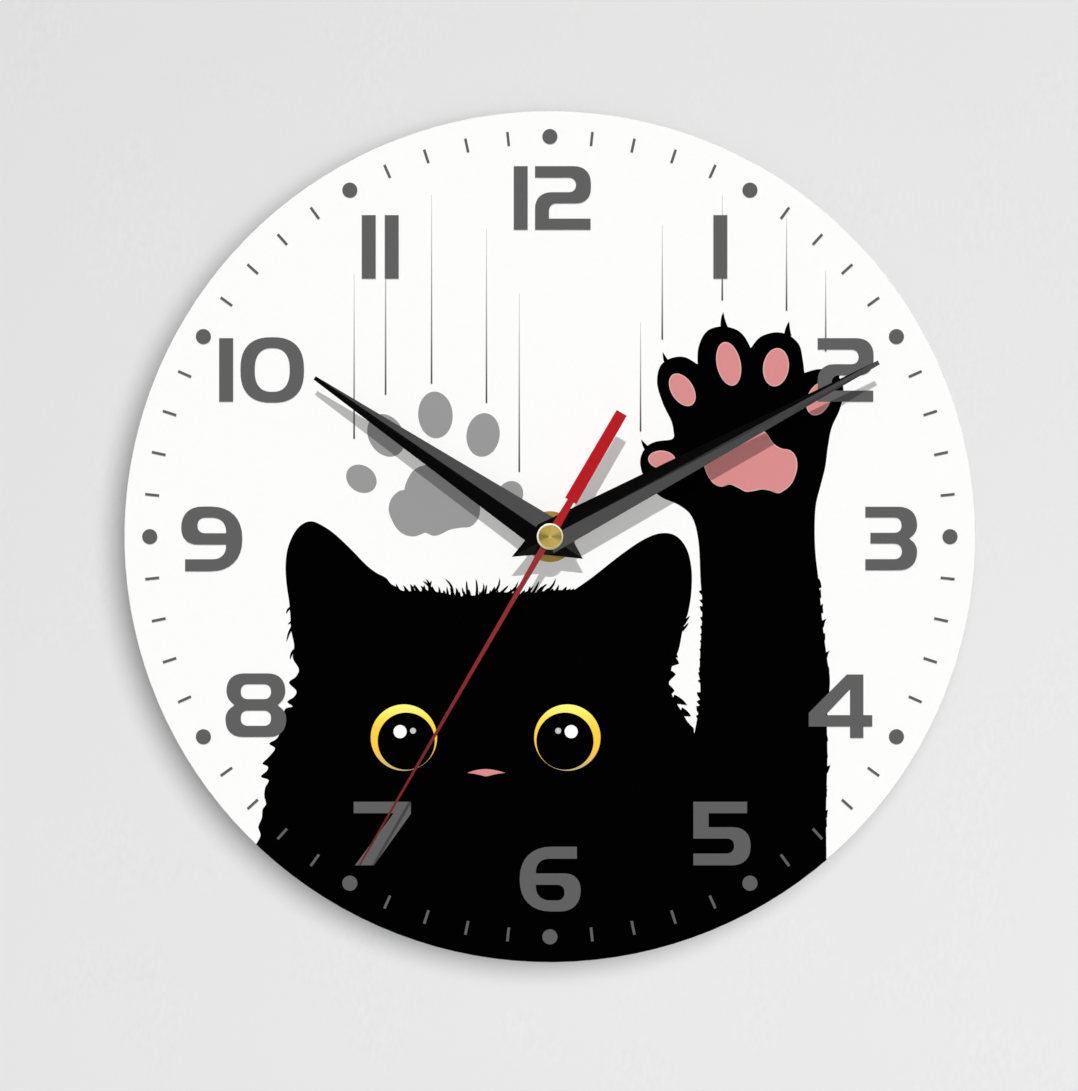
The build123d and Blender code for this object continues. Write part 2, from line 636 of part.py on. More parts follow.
def clock_turn(angle):
    """Turns a hand drawn towards 12 to its clock angle."""
    return Rot(0, 0, -angle)


def kite(length, half_widths, tail):
    """Corners of a long kite: square tip, widest just behind the hub, pointed tail."""
    tip, hub = half_widths
    shoulder = -HAND_SHOULDER
    return [(-tip, length), (tip, length), (hub, shoulder), (0, -tail), (-hub, shoulder)]


def kite_roof(corners, level):
    """A low roof over the kite, with its peak over the hub."""
    peak = (0, 0, level + HAND_CREASE)
    outline = [(x, y, level) for x, y in corners]
    walls = []
    for step, corner in enumerate(outline):
        following = outline[(step + 1) % len(outline)]
        walls.append(Face(Wire(Polyline(corner, following, peak, close=True).edges())))
    walls.append(Face(Wire(Polyline(*outline, close=True).edges())))
    return Solid(Shell(walls))


def creased_hand(corners, back, hole):
    """A hand pressed from thin sheet, creased along its middle."""
    sheet = prism(corners, (back, back + HAND_SHEET)) + kite_roof(corners, back + HAND_SHEET)
    return sheet - kite_roof(corners, back) - disc(hole, (back - 1, back + 3))


def crease_height(radius, half_widths, tail):
    """How far the underside of a creased hand rises over its edges, at a radius on the hub."""
    hub = half_widths[1]
    tail_edge = hub * tail / math.hypot(hub, tail - HAND_SHOULDER)
    nearest_edge = min(hub, tail_edge)
    return HAND_CREASE * (1 - radius / nearest_edge)


def collar(bore, neck, hand_back, seat):
    """Brass collar riveted through a hand: rear flange, neck and rolled rim.

    The flange stays under the creased sheet, at a height of seat above the sheet's edges.
    """
    rear = hand_back - 0.25
    flange = neck + COLLAR_LIP
    rim = neck + COLLAR_RIM
    through = hand_back + HAND_CREASE + HAND_SHEET + FIXED_GAP
    front = through + 0.19
    return turned(
        [(bore, rear), (flange, rear), (flange, hand_back + seat), (neck, hand_back + seat)]
        + [(neck, through), (rim, through), (rim - 0.15, front), (bore, front)]
    )


def hour_hand():
    corners = kite(HOUR_HAND_LENGTH, HOUR_HAND_HALF_WIDTHS, HOUR_HAND_TAIL)
    hand = creased_hand(corners, HOUR_HAND_BACK, HOUR_COLLAR_NECK + FIXED_GAP)
    return clock_turn(HOUR_ANGLE) * hand


def hour_collar():
    flange = HOUR_COLLAR_NECK + COLLAR_LIP
    seat = crease_height(flange, HOUR_HAND_HALF_WIDTHS, HOUR_HAND_TAIL) - FIXED_GAP
    return collar(HOUR_TUBE_RADIUS + FIXED_GAP, HOUR_COLLAR_NECK, HOUR_HAND_BACK, seat)


def minute_hand():
    corners = kite(MINUTE_HAND_LENGTH, MINUTE_HAND_HALF_WIDTHS, MINUTE_HAND_TAIL)
    hand = creased_hand(corners, MINUTE_HAND_BACK, MINUTE_COLLAR_NECK + FIXED_GAP)
    return clock_turn(MINUTE_ANGLE) * hand


def minute_collar():
    flange = MINUTE_COLLAR_NECK + COLLAR_LIP
    seat = crease_height(flange, MINUTE_HAND_HALF_WIDTHS, MINUTE_HAND_TAIL) - FIXED_GAP
    return collar(MINUTE_TUBE_RADIUS + FIXED_GAP, MINUTE_COLLAR_NECK, MINUTE_HAND_BACK, seat)


def second_hand():
    """Flat needle with a long bar for a counterweight."""
    levels = (SECOND_HAND_BACK, SECOND_HAND_BACK + SECOND_HAND_SHEET)
    shoulder = -12.0
    needle = [(-0.95, 0), (-0.95, 4), (-0.65, 21), (-0.24, SECOND_HAND_LENGTH)]
    needle += [(-x, y) for x, y in reversed(needle)]
    neck = [(-1.4, 0), (-1.0, shoulder), (1.0, shoulder), (1.4, 0)]
    end = -SECOND_HAND_TAIL
    bar = [(-1.88, shoulder), (-1.7, end), (1.7, end), (1.88, shoulder)]
    hand = prism(needle, levels) + prism(neck, levels) + prism(bar, levels)
    hand += disc(3.0, levels)
    return clock_turn(SECOND_ANGLE) * (hand - disc(1.3, (levels[0] - 1, levels[1] + 1)))


def second_cap():
    """Turned brass cap whose tube passes through the second hand and grips the arbor."""
    back = SECOND_HAND_BACK
    skirt = back + SECOND_HAND_SHEET + FIXED_GAP
    front = skirt + 1.15
    bore = SECOND_ARBOR_RADIUS + FIXED_GAP
    return turned(
        [(bore, back - 0.7), (1.29, back - 0.7), (1.29, skirt), (CAP_RADIUS, skirt)]
        + [(CAP_RADIUS, front - 0.4), (3.4, front), (3.1, front - 0.15), (0, front)]
        + [(0, back + 1.02), (bore, back + 1.02)]
    )


PARTS = {
    "dial_board": dial_board,
    "brass_washer": brass_washer,
    "hex_nut": hex_nut,
    "rubber_gasket": rubber_gasket,
    "movement_case": movement_case,
    "back_cover": back_cover,
    "train_plate": train_plate,
    "threaded_bushing": threaded_bushing,
    "stator": stator,
    "coil_core": coil_core,
    "coil_bobbin": coil_bobbin,
    "coil_winding": coil_winding,
    "coil_leads": coil_leads,
    "circuit_board": circuit_board,
    "clock_chip": chip,
    "quartz_crystal": crystal,
    "contact_positive": contact_positive,
    "contact_negative": contact_negative,
    "battery_cell": battery_cell,
    "battery_sleeve": battery_sleeve,
    "rotor_magnet": rotor_magnet,
    "rotor_pinion": rotor_pinion,
    "intermediate_wheel": intermediate_wheel,
    "intermediate_arbor": intermediate_arbor,
    "seconds_wheel": seconds_wheel,
    "seconds_arbor": seconds_arbor,
    "third_wheel": third_wheel,
    "third_arbor": third_arbor,
    "centre_wheel": centre_wheel,
    "clutch_spring": clutch_spring,
    "minute_arbor": minute_arbor,
    "minute_wheel": minute_wheel,
    "hour_wheel": hour_wheel,
    "setting_knob": setting_knob,
    "hour_hand": hour_hand,
    "hour_collar": hour_collar,
    "minute_hand": minute_hand,
    "minute_collar": minute_collar,
    "second_hand": second_hand,
    "second_cap": second_cap,
}


def main():
    os.makedirs("parts", exist_ok=True)
    for name, build in PARTS.items():
        made = build()
        save(name, *(made if isinstance(made, list) else [made]))


main()
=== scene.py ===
"""Round wall clock with a printed cat dial: finishes, print, light and camera round the CAD frame."""

import math
import random

import bpy
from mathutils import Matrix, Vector
from mathutils.geometry import tessellate_polygon


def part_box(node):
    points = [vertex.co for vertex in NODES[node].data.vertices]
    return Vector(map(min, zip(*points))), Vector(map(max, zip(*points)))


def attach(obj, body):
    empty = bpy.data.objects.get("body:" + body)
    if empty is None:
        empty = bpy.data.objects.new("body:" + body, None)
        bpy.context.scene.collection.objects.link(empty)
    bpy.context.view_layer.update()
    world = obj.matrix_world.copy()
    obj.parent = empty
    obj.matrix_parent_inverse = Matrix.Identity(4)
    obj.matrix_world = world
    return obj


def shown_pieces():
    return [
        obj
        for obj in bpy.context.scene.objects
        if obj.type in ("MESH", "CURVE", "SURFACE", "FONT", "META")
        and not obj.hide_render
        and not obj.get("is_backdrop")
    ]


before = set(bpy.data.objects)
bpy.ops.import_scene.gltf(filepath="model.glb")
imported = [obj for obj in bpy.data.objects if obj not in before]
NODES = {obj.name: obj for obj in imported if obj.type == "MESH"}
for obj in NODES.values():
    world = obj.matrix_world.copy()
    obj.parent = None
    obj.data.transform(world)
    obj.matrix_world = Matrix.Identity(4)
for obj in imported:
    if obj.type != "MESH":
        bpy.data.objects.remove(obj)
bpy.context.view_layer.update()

DIAL_LOW, DIAL_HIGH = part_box("dial_board")
DIAL_RADIUS = (DIAL_HIGH.x - DIAL_LOW.x) / 2
DIAL_FRONT = DIAL_LOW.y
CAP_RADIUS = (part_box("second_cap")[1].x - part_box("second_cap")[0].x) / 2
# Where the second hand points at rest, in degrees clockwise from 12.
SECOND_ANGLE = 210.1

# The print is drawn in art units: the dial's radius is 100, u runs right and v runs up.
ART_UNIT = DIAL_RADIUS / 100
# The ink stops this far out, just inside the board's edge.
INK_EDGE = 99.85
# Step between the sheets of the print, in metres.
LAYER = 0.00004
rng = random.Random(7)


# ------------------------------------------------------------------ materials
def grey(level):
    """An opaque grey, from 0 for black to 1 for white."""
    return (level, level, level, 1.0)


class Graph:
    """A node tree, with short ways to add nodes and join them."""

    def __init__(self, owner):
        owner.use_nodes = True
        self.nodes = owner.node_tree.nodes
        self.links = owner.node_tree.links

    def node(self, kind, **inputs):
        """A new node. An underscore in the name of an input stands for a space."""
        made = self.nodes.new(kind)
        for name, value in inputs.items():
            self.feed(made, name.replace("_", " "), value)
        return made

    def feed(self, node, socket, value):
        """Joins a socket to an input, or sets the input to a plain value."""
        if isinstance(value, bpy.types.NodeSocket):
            self.links.new(value, node.inputs[socket])
        else:
            node.inputs[socket].default_value = value

    def math(self, operation, first, second=0.0):
        made = self.nodes.new("ShaderNodeMath")
        made.operation = operation
        self.feed(made, 0, first)
        self.feed(made, 1, second)
        return made.outputs[0]

    def ranged(self, value, low, high, start=0.0, end=1.0):
        """Low where the value is start, high where it is end, and even steps between."""
        made = self.nodes.new("ShaderNodeMapRange")
        for socket, given in enumerate((value, start, end, low, high)):
            self.feed(made, socket, given)
        return made.outputs[0]

    def blended(self, share, first, second):
        """A number between two others."""
        made = self.nodes.new("ShaderNodeMix")
        self.feed(made, 0, share)
        self.feed(made, 2, first)
        self.feed(made, 3, second)
        return made.outputs[0]


class Paint(Graph):
    """One procedural material, built on a Principled shader."""

    def __init__(self, name, color, roughness, metallic=0.0, specular=0.5):
        self.material = bpy.data.materials.new(name)
        super().__init__(self.material)
        self.shader = self.nodes["Principled BSDF"]
        self.color = (*color, 1.0)
        self.roughness = roughness
        self.feed(self.shader, "Base Color", self.color)
        self.feed(self.shader, "Roughness", roughness)
        self.feed(self.shader, "Metallic", metallic)
        self.feed(self.shader, "Specular IOR Level", specular)
        self.material.diffuse_color = self.color

    def place(self):
        """The point being shaded, in metres, in the rest frame of its body."""
        return self.node("ShaderNodeTexCoord").outputs["Object"]

    def axes(self):
        """The three coordinates of that point."""
        split = self.node("ShaderNodeSeparateXYZ", Vector=self.place())
        return split.outputs[0], split.outputs[1], split.outputs[2]

    def noise(self, scale, detail=3.0, stretch=(1, 1, 1)):
        """Noise from 0 to 1, finer as the scale grows."""
        mapping = self.node("ShaderNodeMapping", Vector=self.place(), Scale=stretch)
        made = self.node("ShaderNodeTexNoise", Vector=mapping.outputs[0], Scale=scale, Detail=detail)
        return made.outputs["Fac"]

    def radius(self):
        """Distance from the axis of the hands."""
        x, _, z = self.axes()
        square = self.math("ADD", self.math("MULTIPLY", x, x), self.math("MULTIPLY", z, z))
        return self.math("SQRT", square)

    def noise_round_axis(self, rings):
        """Noise that changes with the distance from the hand axis only, like lathe marks."""
        along = self.node("ShaderNodeCombineXYZ", X=self.math("MULTIPLY", self.radius(), rings))
        made = self.node("ShaderNodeTexNoise", Vector=along.outputs[0], Scale=1.0, Detail=2.0)
        return made.outputs["Fac"]

    def mixed(self, share, first, second, way="MIX"):
        """A colour mixed from two others."""
        made = self.nodes.new("ShaderNodeMix")
        made.data_type = "RGBA"
        made.blend_type = way
        self.feed(made, 0, share)
        self.feed(made, 6, first)
        self.feed(made, 7, second)
        return made.outputs[2]

    def shade(self, amount, by):
        """Darkens and lightens the colour by a share, following a 0 to 1 value."""
        lift = 0.002 * amount
        dark = tuple(c * (1 - amount) for c in self.color[:3])
        light = tuple(min(1.0, c * (1 + amount) + lift) for c in self.color[:3])
        return self.mixed(by, (*dark, 1.0), (*light, 1.0))

    def colored(self, value):
        """Gives the surface its final colour."""
        self.feed(self.shader, "Base Color", value)

    def rough(self, by, swing):
        """Roughness that swings either way about its mean, following a 0 to 1 value."""
        low, high = self.roughness - swing, self.roughness + swing
        self.feed(self.shader, "Roughness", self.ranged(by, low, high))

    def bumped(self, height, strength, distance=0.0001):
        """Relief from a 0 to 1 height; distance is how deep it would be, in metres."""
        bump = self.node("ShaderNodeBump", Strength=strength, Distance=distance, Height=height)
        self.feed(self.shader, "Normal", bump.outputs[0])


def plastic(name, color, roughness, grain=2500.0, bump=0.15):
    """Moulded plastic: a fine spark-eroded texture and slight colour drift."""
    paint = Paint(name, color, roughness, specular=0.4)
    paint.colored(paint.shade(0.12, paint.noise(130.0)))
    paint.rough(paint.noise(420.0), 0.06)
    paint.bumped(paint.noise(grain, 2.0), bump)
    return paint.material


def ink(name, color, roughness=0.6, specular=0.06):
    """Printed ink: almost flat, with the faint speckle of the print screen."""
    paint = Paint(name, color, roughness, specular=specular)
    paint.colored(paint.shade(0.03, paint.noise(2200.0, 2.0)))
    paint.rough(paint.noise(600.0), 0.05)
    return paint.material


def metal(name, color, roughness, stretch=(1, 1, 30)):
    """Drawn or ground metal. Its grain is fine along the axis with the largest stretch."""
    paint = Paint(name, color, roughness, metallic=1.0)
    grain = paint.noise(300.0, 4.0, stretch)
    paint.colored(paint.shade(0.1, grain))
    paint.rough(paint.noise(700.0, 2.0, stretch), 0.08)
    paint.bumped(grain, 0.08, 0.00005)
    return paint.material


def turned_brass(name, color, roughness, bump=0.1):
    """Brass faced on a lathe, with fine rings round the hand axis."""
    paint = Paint(name, color, roughness, metallic=0.5)
    groove = paint.noise_round_axis(9000.0)
    paint.colored(paint.shade(0.14, groove))
    paint.bumped(groove, bump, 0.00005)
    return paint.material


def cap_brass():
    """Faced brass with painted reflections: two dark wedges and fine radial streaks of painted reflection
    turn about the centre, the middle is a painted highlight and the rim a pale painted highlight.
    """
    paint = Paint("cap_brass", (0.48, 0.35, 0.08), 0.34, metallic=0.45)
    # Where the painted highlight of the middle ends and the painted highlight of the rim begins, as shares
    # of the cap's radius.
    middle_end = 0.16
    rim_start = 0.87
    x, _, z = paint.axes()
    radius = paint.radius()
    angle = paint.math("ARCTAN2", z, x)
    groove = paint.noise_round_axis(14000.0)
    # The face: painted reflection, bright but for two dark wedges left and right, broken up by painted
    # radial streaks and by specks of grain, with a painted highlight in the middle.
    spin = paint.node("ShaderNodeCombineXYZ", X=paint.math("MULTIPLY", angle, 3.0))
    # Painted reflection: fine radial streaks turning about the centre.
    painted_reflection_rays = paint.node("ShaderNodeTexNoise", Vector=spin.outputs[0], Scale=2.2, Detail=4.0)
    painted_ray_streaks = paint.ranged(painted_reflection_rays.outputs["Fac"], 0.0, 1.0, 0.35, 0.65)
    speckle = paint.noise(5000.0, 2.0)
    # Painted reflection: dark to the left and right of the centre, bright above and below.
    painted_dark_bow = paint.math("POWER", paint.math("ABSOLUTE", paint.math("COSINE", angle)), 10.0)
    bright = paint.math("SUBTRACT", 1.0, painted_dark_bow)
    grain = paint.math("ADD", paint.math("MULTIPLY", painted_ray_streaks, 0.3), paint.math("MULTIPLY", speckle, 0.3))
    painted_sheen_and_grain = paint.math("ADD", paint.math("MULTIPLY", bright, 0.5), paint.math("MULTIPLY", grain, 0.7))
    # Painted highlight in the middle of the face.
    middle = paint.ranged(radius, 0.0, 1.0, 0.0, CAP_RADIUS * middle_end)
    face = paint.mixed(middle, (0.72, 0.58, 0.24, 1), paint.shade(0.65, painted_sheen_and_grain))
    # The rim: a pale painted highlight, palest at its upper left; it is not metallic.
    rim = paint.math("GREATER_THAN", radius, CAP_RADIUS * rim_start)
    upper_left = paint.math("SUBTRACT", z, x)
    # Painted highlight on the rim, palest at the upper left.
    pale = paint.ranged(upper_left, 0.0, 1.0, -CAP_RADIUS * 1.4, CAP_RADIUS * 0.5)
    edge = paint.mixed(pale, (0.7, 0.6, 0.26, 1), (1.0, 0.97, 0.82, 1))
    paint.colored(paint.mixed(rim, face, edge))
    # The rim's painted highlight is not metallic.
    paint.feed(paint.shader, "Metallic", paint.ranged(rim, 0.45, 0.0))
    paint.bumped(groove, 0.2, 0.00005)
    return paint.material


def dial_white():
    """Satin white board. The print's black runs over the rounded front edge under the cat."""
    paint = Paint("dial_white", (0.93, 0.93, 0.925), 0.5, specular=0.3)
    x, y, z = paint.axes()
    radius = paint.radius()
    white = paint.shade(0.012, paint.noise(900.0, 4.0))
    side = paint.math("DIVIDE", x, radius)
    left, right = (math.cos(math.radians(a)) for a in CAT_RIM)
    # The ink reaches this far back, in metres, and starts at this share of the radius.
    ink_depth = 0.00016
    ink_start = 0.9975
    facing = paint.math("LESS_THAN", y, DIAL_FRONT + ink_depth)
    outermost = paint.math("GREATER_THAN", radius, DIAL_RADIUS * ink_start)
    past_left = paint.math("GREATER_THAN", side, left)
    before_right = paint.math("LESS_THAN", side, right)
    below = paint.math("LESS_THAN", z, 0.0)
    inked = facing
    for test in (outermost, past_left, before_right, below):
        inked = paint.math("MULTIPLY", inked, test)
    paint.colored(paint.mixed(inked, white, (0.0, 0.0, 0.0, 1.0)))
    paint.bumped(paint.noise(1800.0, 2.0), 0.03)
    return paint.material


def iris_yellow():
    """Lemon at the top of each eye, amber down the sides and dying away at the foot."""
    paint = Paint("ink_yellow", (0.95, 0.6, 0.06), 0.55, specular=0.1)
    _, _, z = paint.axes()
    foot, top = ((EYE_LEVEL + way * IRIS_RADIUS) * ART_UNIT for way in (-1, 1))
    ramp = paint.node("ShaderNodeValToRGB", Fac=paint.ranged(z, 0.0, 1.0, foot, top))
    stops = ramp.color_ramp.elements
    stops[0].position, stops[0].color = 0.02, (0.55, 0.42, 0.2, 1)
    stops[1].position, stops[1].color = 0.95, (1.0, 0.9, 0.2, 1)
    for position, color in (
        (0.3, (0.95, 0.55, 0.06, 1)),
        (0.62, (0.93, 0.62, 0.06, 1)),
        (0.8, (0.98, 0.76, 0.1, 1)),
    ):
        stops.new(position).color = color
    paint.colored(ramp.outputs[0])
    paint.rough(paint.noise(600.0), 0.04)
    return paint.material


def streak_grey():
    """Ink that fades upwards, from dark grey at the foot of a scratch to almost nothing."""
    paint = Paint("ink_streak", (0.1, 0.1, 0.1), 0.6, specular=0.08)
    fade = paint.node("ShaderNodeAttribute")
    fade.attribute_name = "rise"
    paint.colored(paint.mixed(fade.outputs["Fac"], grey(0.06), grey(0.5)))
    paint.rough(paint.noise(600.0), 0.05)
    return paint.material


def hand_black():
    """Glossy black lacquer over pressed sheet, with a faint orange peel."""
    paint = Paint("hand_black", (0.0015, 0.0015, 0.0017), 0.14, specular=0.5)
    paint.colored(paint.shade(0.2, paint.noise(600.0)))
    paint.rough(paint.noise(250.0), 0.03)
    paint.bumped(paint.noise(3500.0, 2.0), 0.02)
    return paint.material


def hand_red():
    """Bright red lacquer on the counterweight; the needle is darkened by painted shade, more so towards its
    tip.
    """
    paint = Paint("hand_red", (0.44, 0.006, 0.012), 0.38, specular=0.3)
    x, _, z = paint.axes()
    turn = math.radians(90 - SECOND_ANGLE)
    # Distance along the hand, in metres: below 0 on the counterweight, above 0 on the needle.
    reach = paint.math(
        "ADD", paint.math("MULTIPLY", x, math.cos(turn)), paint.math("MULTIPLY", z, math.sin(turn))
    )
    along_needle = paint.ranged(reach, 0.0, 1.0, 0.0, 0.1)
    # Painted shade on the needle, deeper towards its tip.
    painted_shade_needle = paint.mixed(along_needle, (0.28, 0.024, 0.027, 1), (0.13, 0.014, 0.016, 1))
    bright = paint.shade(0.08, paint.noise(500.0))
    # The counterweight keeps its bright red; the needle takes the painted shade.
    onto_needle = paint.ranged(reach, 0.0, 1.0, -0.012, 0.004)
    paint.colored(paint.mixed(onto_needle, bright, painted_shade_needle))
    paint.rough(paint.noise(300.0), 0.04)
    return paint.material


def board_green():
    """Solder mask over a faint grid of tracks."""
    paint = Paint("board_green", (0.03, 0.2, 0.09), 0.3)
    brick = paint.node(
        "ShaderNodeTexBrick",
        Vector=paint.place(),
        Scale=260.0,
        Color1=(0.03, 0.2, 0.09, 1),
        Color2=(0.035, 0.23, 0.1, 1),
        Mortar=(0.05, 0.3, 0.14, 1),
    )
    paint.colored(brick.outputs[0])
    return paint.material


def winding_copper():
    """Enamelled wire, wound side by side across the coil's axis, with painted shade between the turns."""
    paint = Paint("copper_wire", (0.6, 0.2, 0.06), 0.28, metallic=0.9)
    # Radians per metre: one turn of wire every 0.15 mm.
    winding = 42000.0
    x, _, _ = paint.axes()
    wave = paint.math("SINE", paint.math("MULTIPLY", x, winding))
    turns = paint.ranged(wave, 0.0, 1.0, -1.0, 1.0)
    # Painted shade: darker in the grooves between turns; the bump below follows the same turns.
    paint.colored(paint.shade(0.3, turns))
    paint.bumped(turns, 0.5, 0.00005)
    return paint.material


def sleeve_print():
    """A plain slate sleeve with an orange end and a silver ring beside it, at the positive end."""
    paint = Paint("sleeve_print", (0.03, 0.06, 0.13), 0.3)
    low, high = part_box("battery_sleeve")
    length = high.x - low.x
    x, _, _ = paint.axes()
    orange = paint.math("GREATER_THAN", x, high.x - 0.22 * length)
    silver = paint.math("GREATER_THAN", x, high.x - 0.26 * length)
    ringed = paint.mixed(silver, paint.shade(0.1, paint.noise(300.0)), (0.7, 0.7, 0.72, 1))
    paint.colored(paint.mixed(orange, ringed, (0.75, 0.28, 0.04, 1)))
    return paint.material


# ------------------------------------------------------------------ outlines in art units
def smooth(points):
    """Samples of a Catmull-Rom curve through all the points, the last one left out."""
    steps = 6
    if len(points) == 2:
        return [points[0]]
    padded = [points[0], *points, points[-1]]
    curve = []
    for a, b, c, d in zip(padded, padded[1:], padded[2:], padded[3:]):
        for step in range(steps):
            t = step / steps
            curve.append(tuple(spline(p, q, r, s, t) for p, q, r, s in zip(a, b, c, d)))
    return curve


def spline(p, q, r, s, t):
    """The curve's value at t on its way from q to r, with p before them and s after."""
    square = (2 * p - 5 * q + 4 * r - s) * t * t
    cube = (3 * q - p - 3 * r + s) * t ** 3
    return 0.5 * (2 * q + (r - p) * t + square + cube)


def outline(*runs):
    """Smooth runs end to end; the outline has a corner wherever two runs meet."""
    return [point for run in runs for point in smooth(run)]


def rim_run(start, end):
    """Points along the dial's edge, 2 degrees apart, between two angles counter-clockwise from u."""
    count = max(2, round(abs(end - start) / 2.0))
    angles = [math.radians(start + (end - start) * k / count) for k in range(count + 1)]
    return [(INK_EDGE * math.cos(a), INK_EDGE * math.sin(a)) for a in angles]


def oval(centre, half_width, half_height, tilt=0.0, steps=48, power=2.0):
    """An ellipse, tilted counter-clockwise by degrees; a power above 2 makes it squarer."""
    turn = math.radians(tilt)
    points = []
    for step in range(steps):
        angle = 2 * math.pi * step / steps
        across, up = math.cos(angle), math.sin(angle)
        x = half_width * math.copysign(abs(across) ** (2 / power), across)
        y = half_height * math.copysign(abs(up) ** (2 / power), up)
        points.append((
            centre[0] + x * math.cos(turn) - y * math.sin(turn),
            centre[1] + x * math.sin(turn) + y * math.cos(turn),
        ))
    return points


def rounded(corners):
    """A polygon whose corners, each (x, y, radius), are eased with a squarish curve."""
    # How far the curve's handles reach towards the corner.
    pull = 0.62
    steps = 8
    points = []
    for index, (x, y, radius) in enumerate(corners):
        if radius == 0:
            points.append((x, y))
            continue
        corner = Vector((x, y))
        before = Vector(corners[index - 1][:2]) - corner
        after = Vector(corners[(index + 1) % len(corners)][:2]) - corner
        start = corner + before.normalized() * radius
        end = corner + after.normalized() * radius
        first, second = start.lerp(corner, pull), end.lerp(corner, pull)
        for step in range(steps + 1):
            t = step / steps
            weights = ((1 - t) ** 3, 3 * t * (1 - t) ** 2, 3 * t * t * (1 - t), t ** 3)
            handles = zip((start, first, second, end), weights)
            points.append(tuple(sum((p * w for p, w in handles), Vector((0, 0)))))
    return points


def lock(root, tip, width, bend, taper=0.8):
    """A strand or tuft of fur: a curved sliver from its root to its tip."""
    root, tip = Vector(root), Vector(tip)
    reach = tip - root
    across = Vector((-reach.y, reach.x)).normalized()
    left, right = [], []
    steps = 5
    for step in range(steps):
        t = step / steps
        sway = bend * reach.length * math.sin(math.pi * t) * 0.5
        middle = root + reach * t + across * sway
        half = across * (width / 2 * (1 - t) ** taper)
        left.append(tuple(middle + half))
        right.append(tuple(middle - half))
    return left + [tuple(tip)] + right[::-1]


def grown(loop, by):
    """A closed loop with every point moved away from its middle by a distance."""
    middle = sum((Vector(point) for point in loop), Vector((0, 0))) / len(loop)
    moved = []
    for point in loop:
        out = Vector(point) - middle
        moved.append(tuple(Vector(point) + out.normalized() * by))
    return moved


def print_piece(name, shapes, layer, material):
    """Lays flat shapes on the dial. A shape is a list of loops: an outline, then its holes."""
    vertices, faces = [], []
    level = DIAL_FRONT - layer * LAYER
    for shape in shapes:
        first = len(vertices)
        loops = [[Vector((u, v, 0.0)) for u, v in loop] for loop in shape]
        flat = [point for loop in loops for point in loop]
        vertices += [(point.x * ART_UNIT, level, point.y * ART_UNIT) for point in flat]
        for a, b, c in tessellate_polygon(loops):
            # Every face looks out of the dial.
            flipped = (flat[b] - flat[a]).cross(flat[c] - flat[a]).z < 0
            corners = (a, c, b) if flipped else (a, b, c)
            faces.append([first + index for index in corners])
    mesh = bpy.data.meshes.new(name)
    mesh.from_pydata(vertices, [], faces)
    mesh.materials.append(material)
    piece = bpy.data.objects.new(name, mesh)
    bpy.context.scene.collection.objects.link(piece)
    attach(piece, "case")
    return piece


# ------------------------------------------------------------------ the printed picture
# Where the cat's black meets the dial's edge, as angles counter-clockwise from u.
CAT_RIM = (226.3, 310.6)
# The foreleg's print reaches round to here, and the body's overlaps it.
LEG_RIM = 281.0
EYE_LEVEL = -47.2
EYES = (-34.3, 4.1)
IRIS_RADIUS = 7.8
PUPIL_RADIUS = 6.72

HEAD = outline(
    # left ear, from its foot on the left cheek up to the tip and down to the crown
    [(-61.3, -15.0), (-61.9, -10.9), (-62.1, -6.5), (-61.5, -2.4), (-59.8, 1.3), (-57.9, 3.1), (-56.1, 3.6),
     (-54.2, 3.0), (-50.9, 0.9), (-47.0, -2.7), (-43.3, -6.5), (-40.9, -8.4), (-38.8, -9.5), (-38.2, -10.0),
     (-37.3, -11.1), (-36.0, -11.8)],
    # the crown under the fur
    [(-36.0, -11.8), (-34.6, -12.7), (-31.7, -12.8), (-27.0, -12.9), (-23.0, -13.7), (-20.0, -14.0),
     (-15.6, -13.5), (-11.9, -13.0), (-5.8, -13.4), (-0.8, -12.7), (5.9, -12.4)],
    # right ear
    [(5.9, -12.4), (10.0, -9.5), (16.5, -4.4), (21.8, -0.8), (26.0, 0.8), (29.6, 0.2), (32.2, -3.0),
     (33.3, -8.0), (33.2, -13.5), (32.5, -17.8)],
    # right cheek, down to where it meets the foreleg
    [(32.5, -17.8), (31.2, -22.0), (30.3, -26.4), (28.7, -30.5), (28.0, -34.5), (28.9, -37.6),
     (30.8, -40.8), (32.3, -43.4), (33.8, -45.0)],
    [(33.8, -45.0), (36.0, -72.0)],
    [(36.0, -72.0), (24.0, -95.0)],
    rim_run(LEG_RIM + 3.0, CAT_RIM[0]),
    # left flank, with a row of blunt tufts up to the cheek
    [rim_run(CAT_RIM[0], CAT_RIM[0] + 2)[0], (-68.0, -70.2), (-68.5, -68.2), (-67.7, -66.1), (-67.5, -64.1),
     (-66.7, -62.8), (-67.1, -61.0), (-66.9, -59.0), (-66.1, -57.2), (-67.9, -56.4), (-66.5, -55.0),
     (-66.3, -54.0), (-67.5, -53.3), (-66.2, -51.9), (-64.6, -49.8), (-65.9, -48.6), (-64.0, -47.2),
     (-62.6, -43.8), (-62.3, -40.6), (-60.5, -39.9), (-61.7, -38.8), (-60.1, -37.6), (-59.6, -36.2),
     (-61.3, -34.3), (-59.7, -32.9), (-59.0, -31.1), (-60.4, -28.5), (-60.1, -25.5), (-60.8, -22.0),
     (-61.0, -18.5), (-61.3, -15.0)],
)

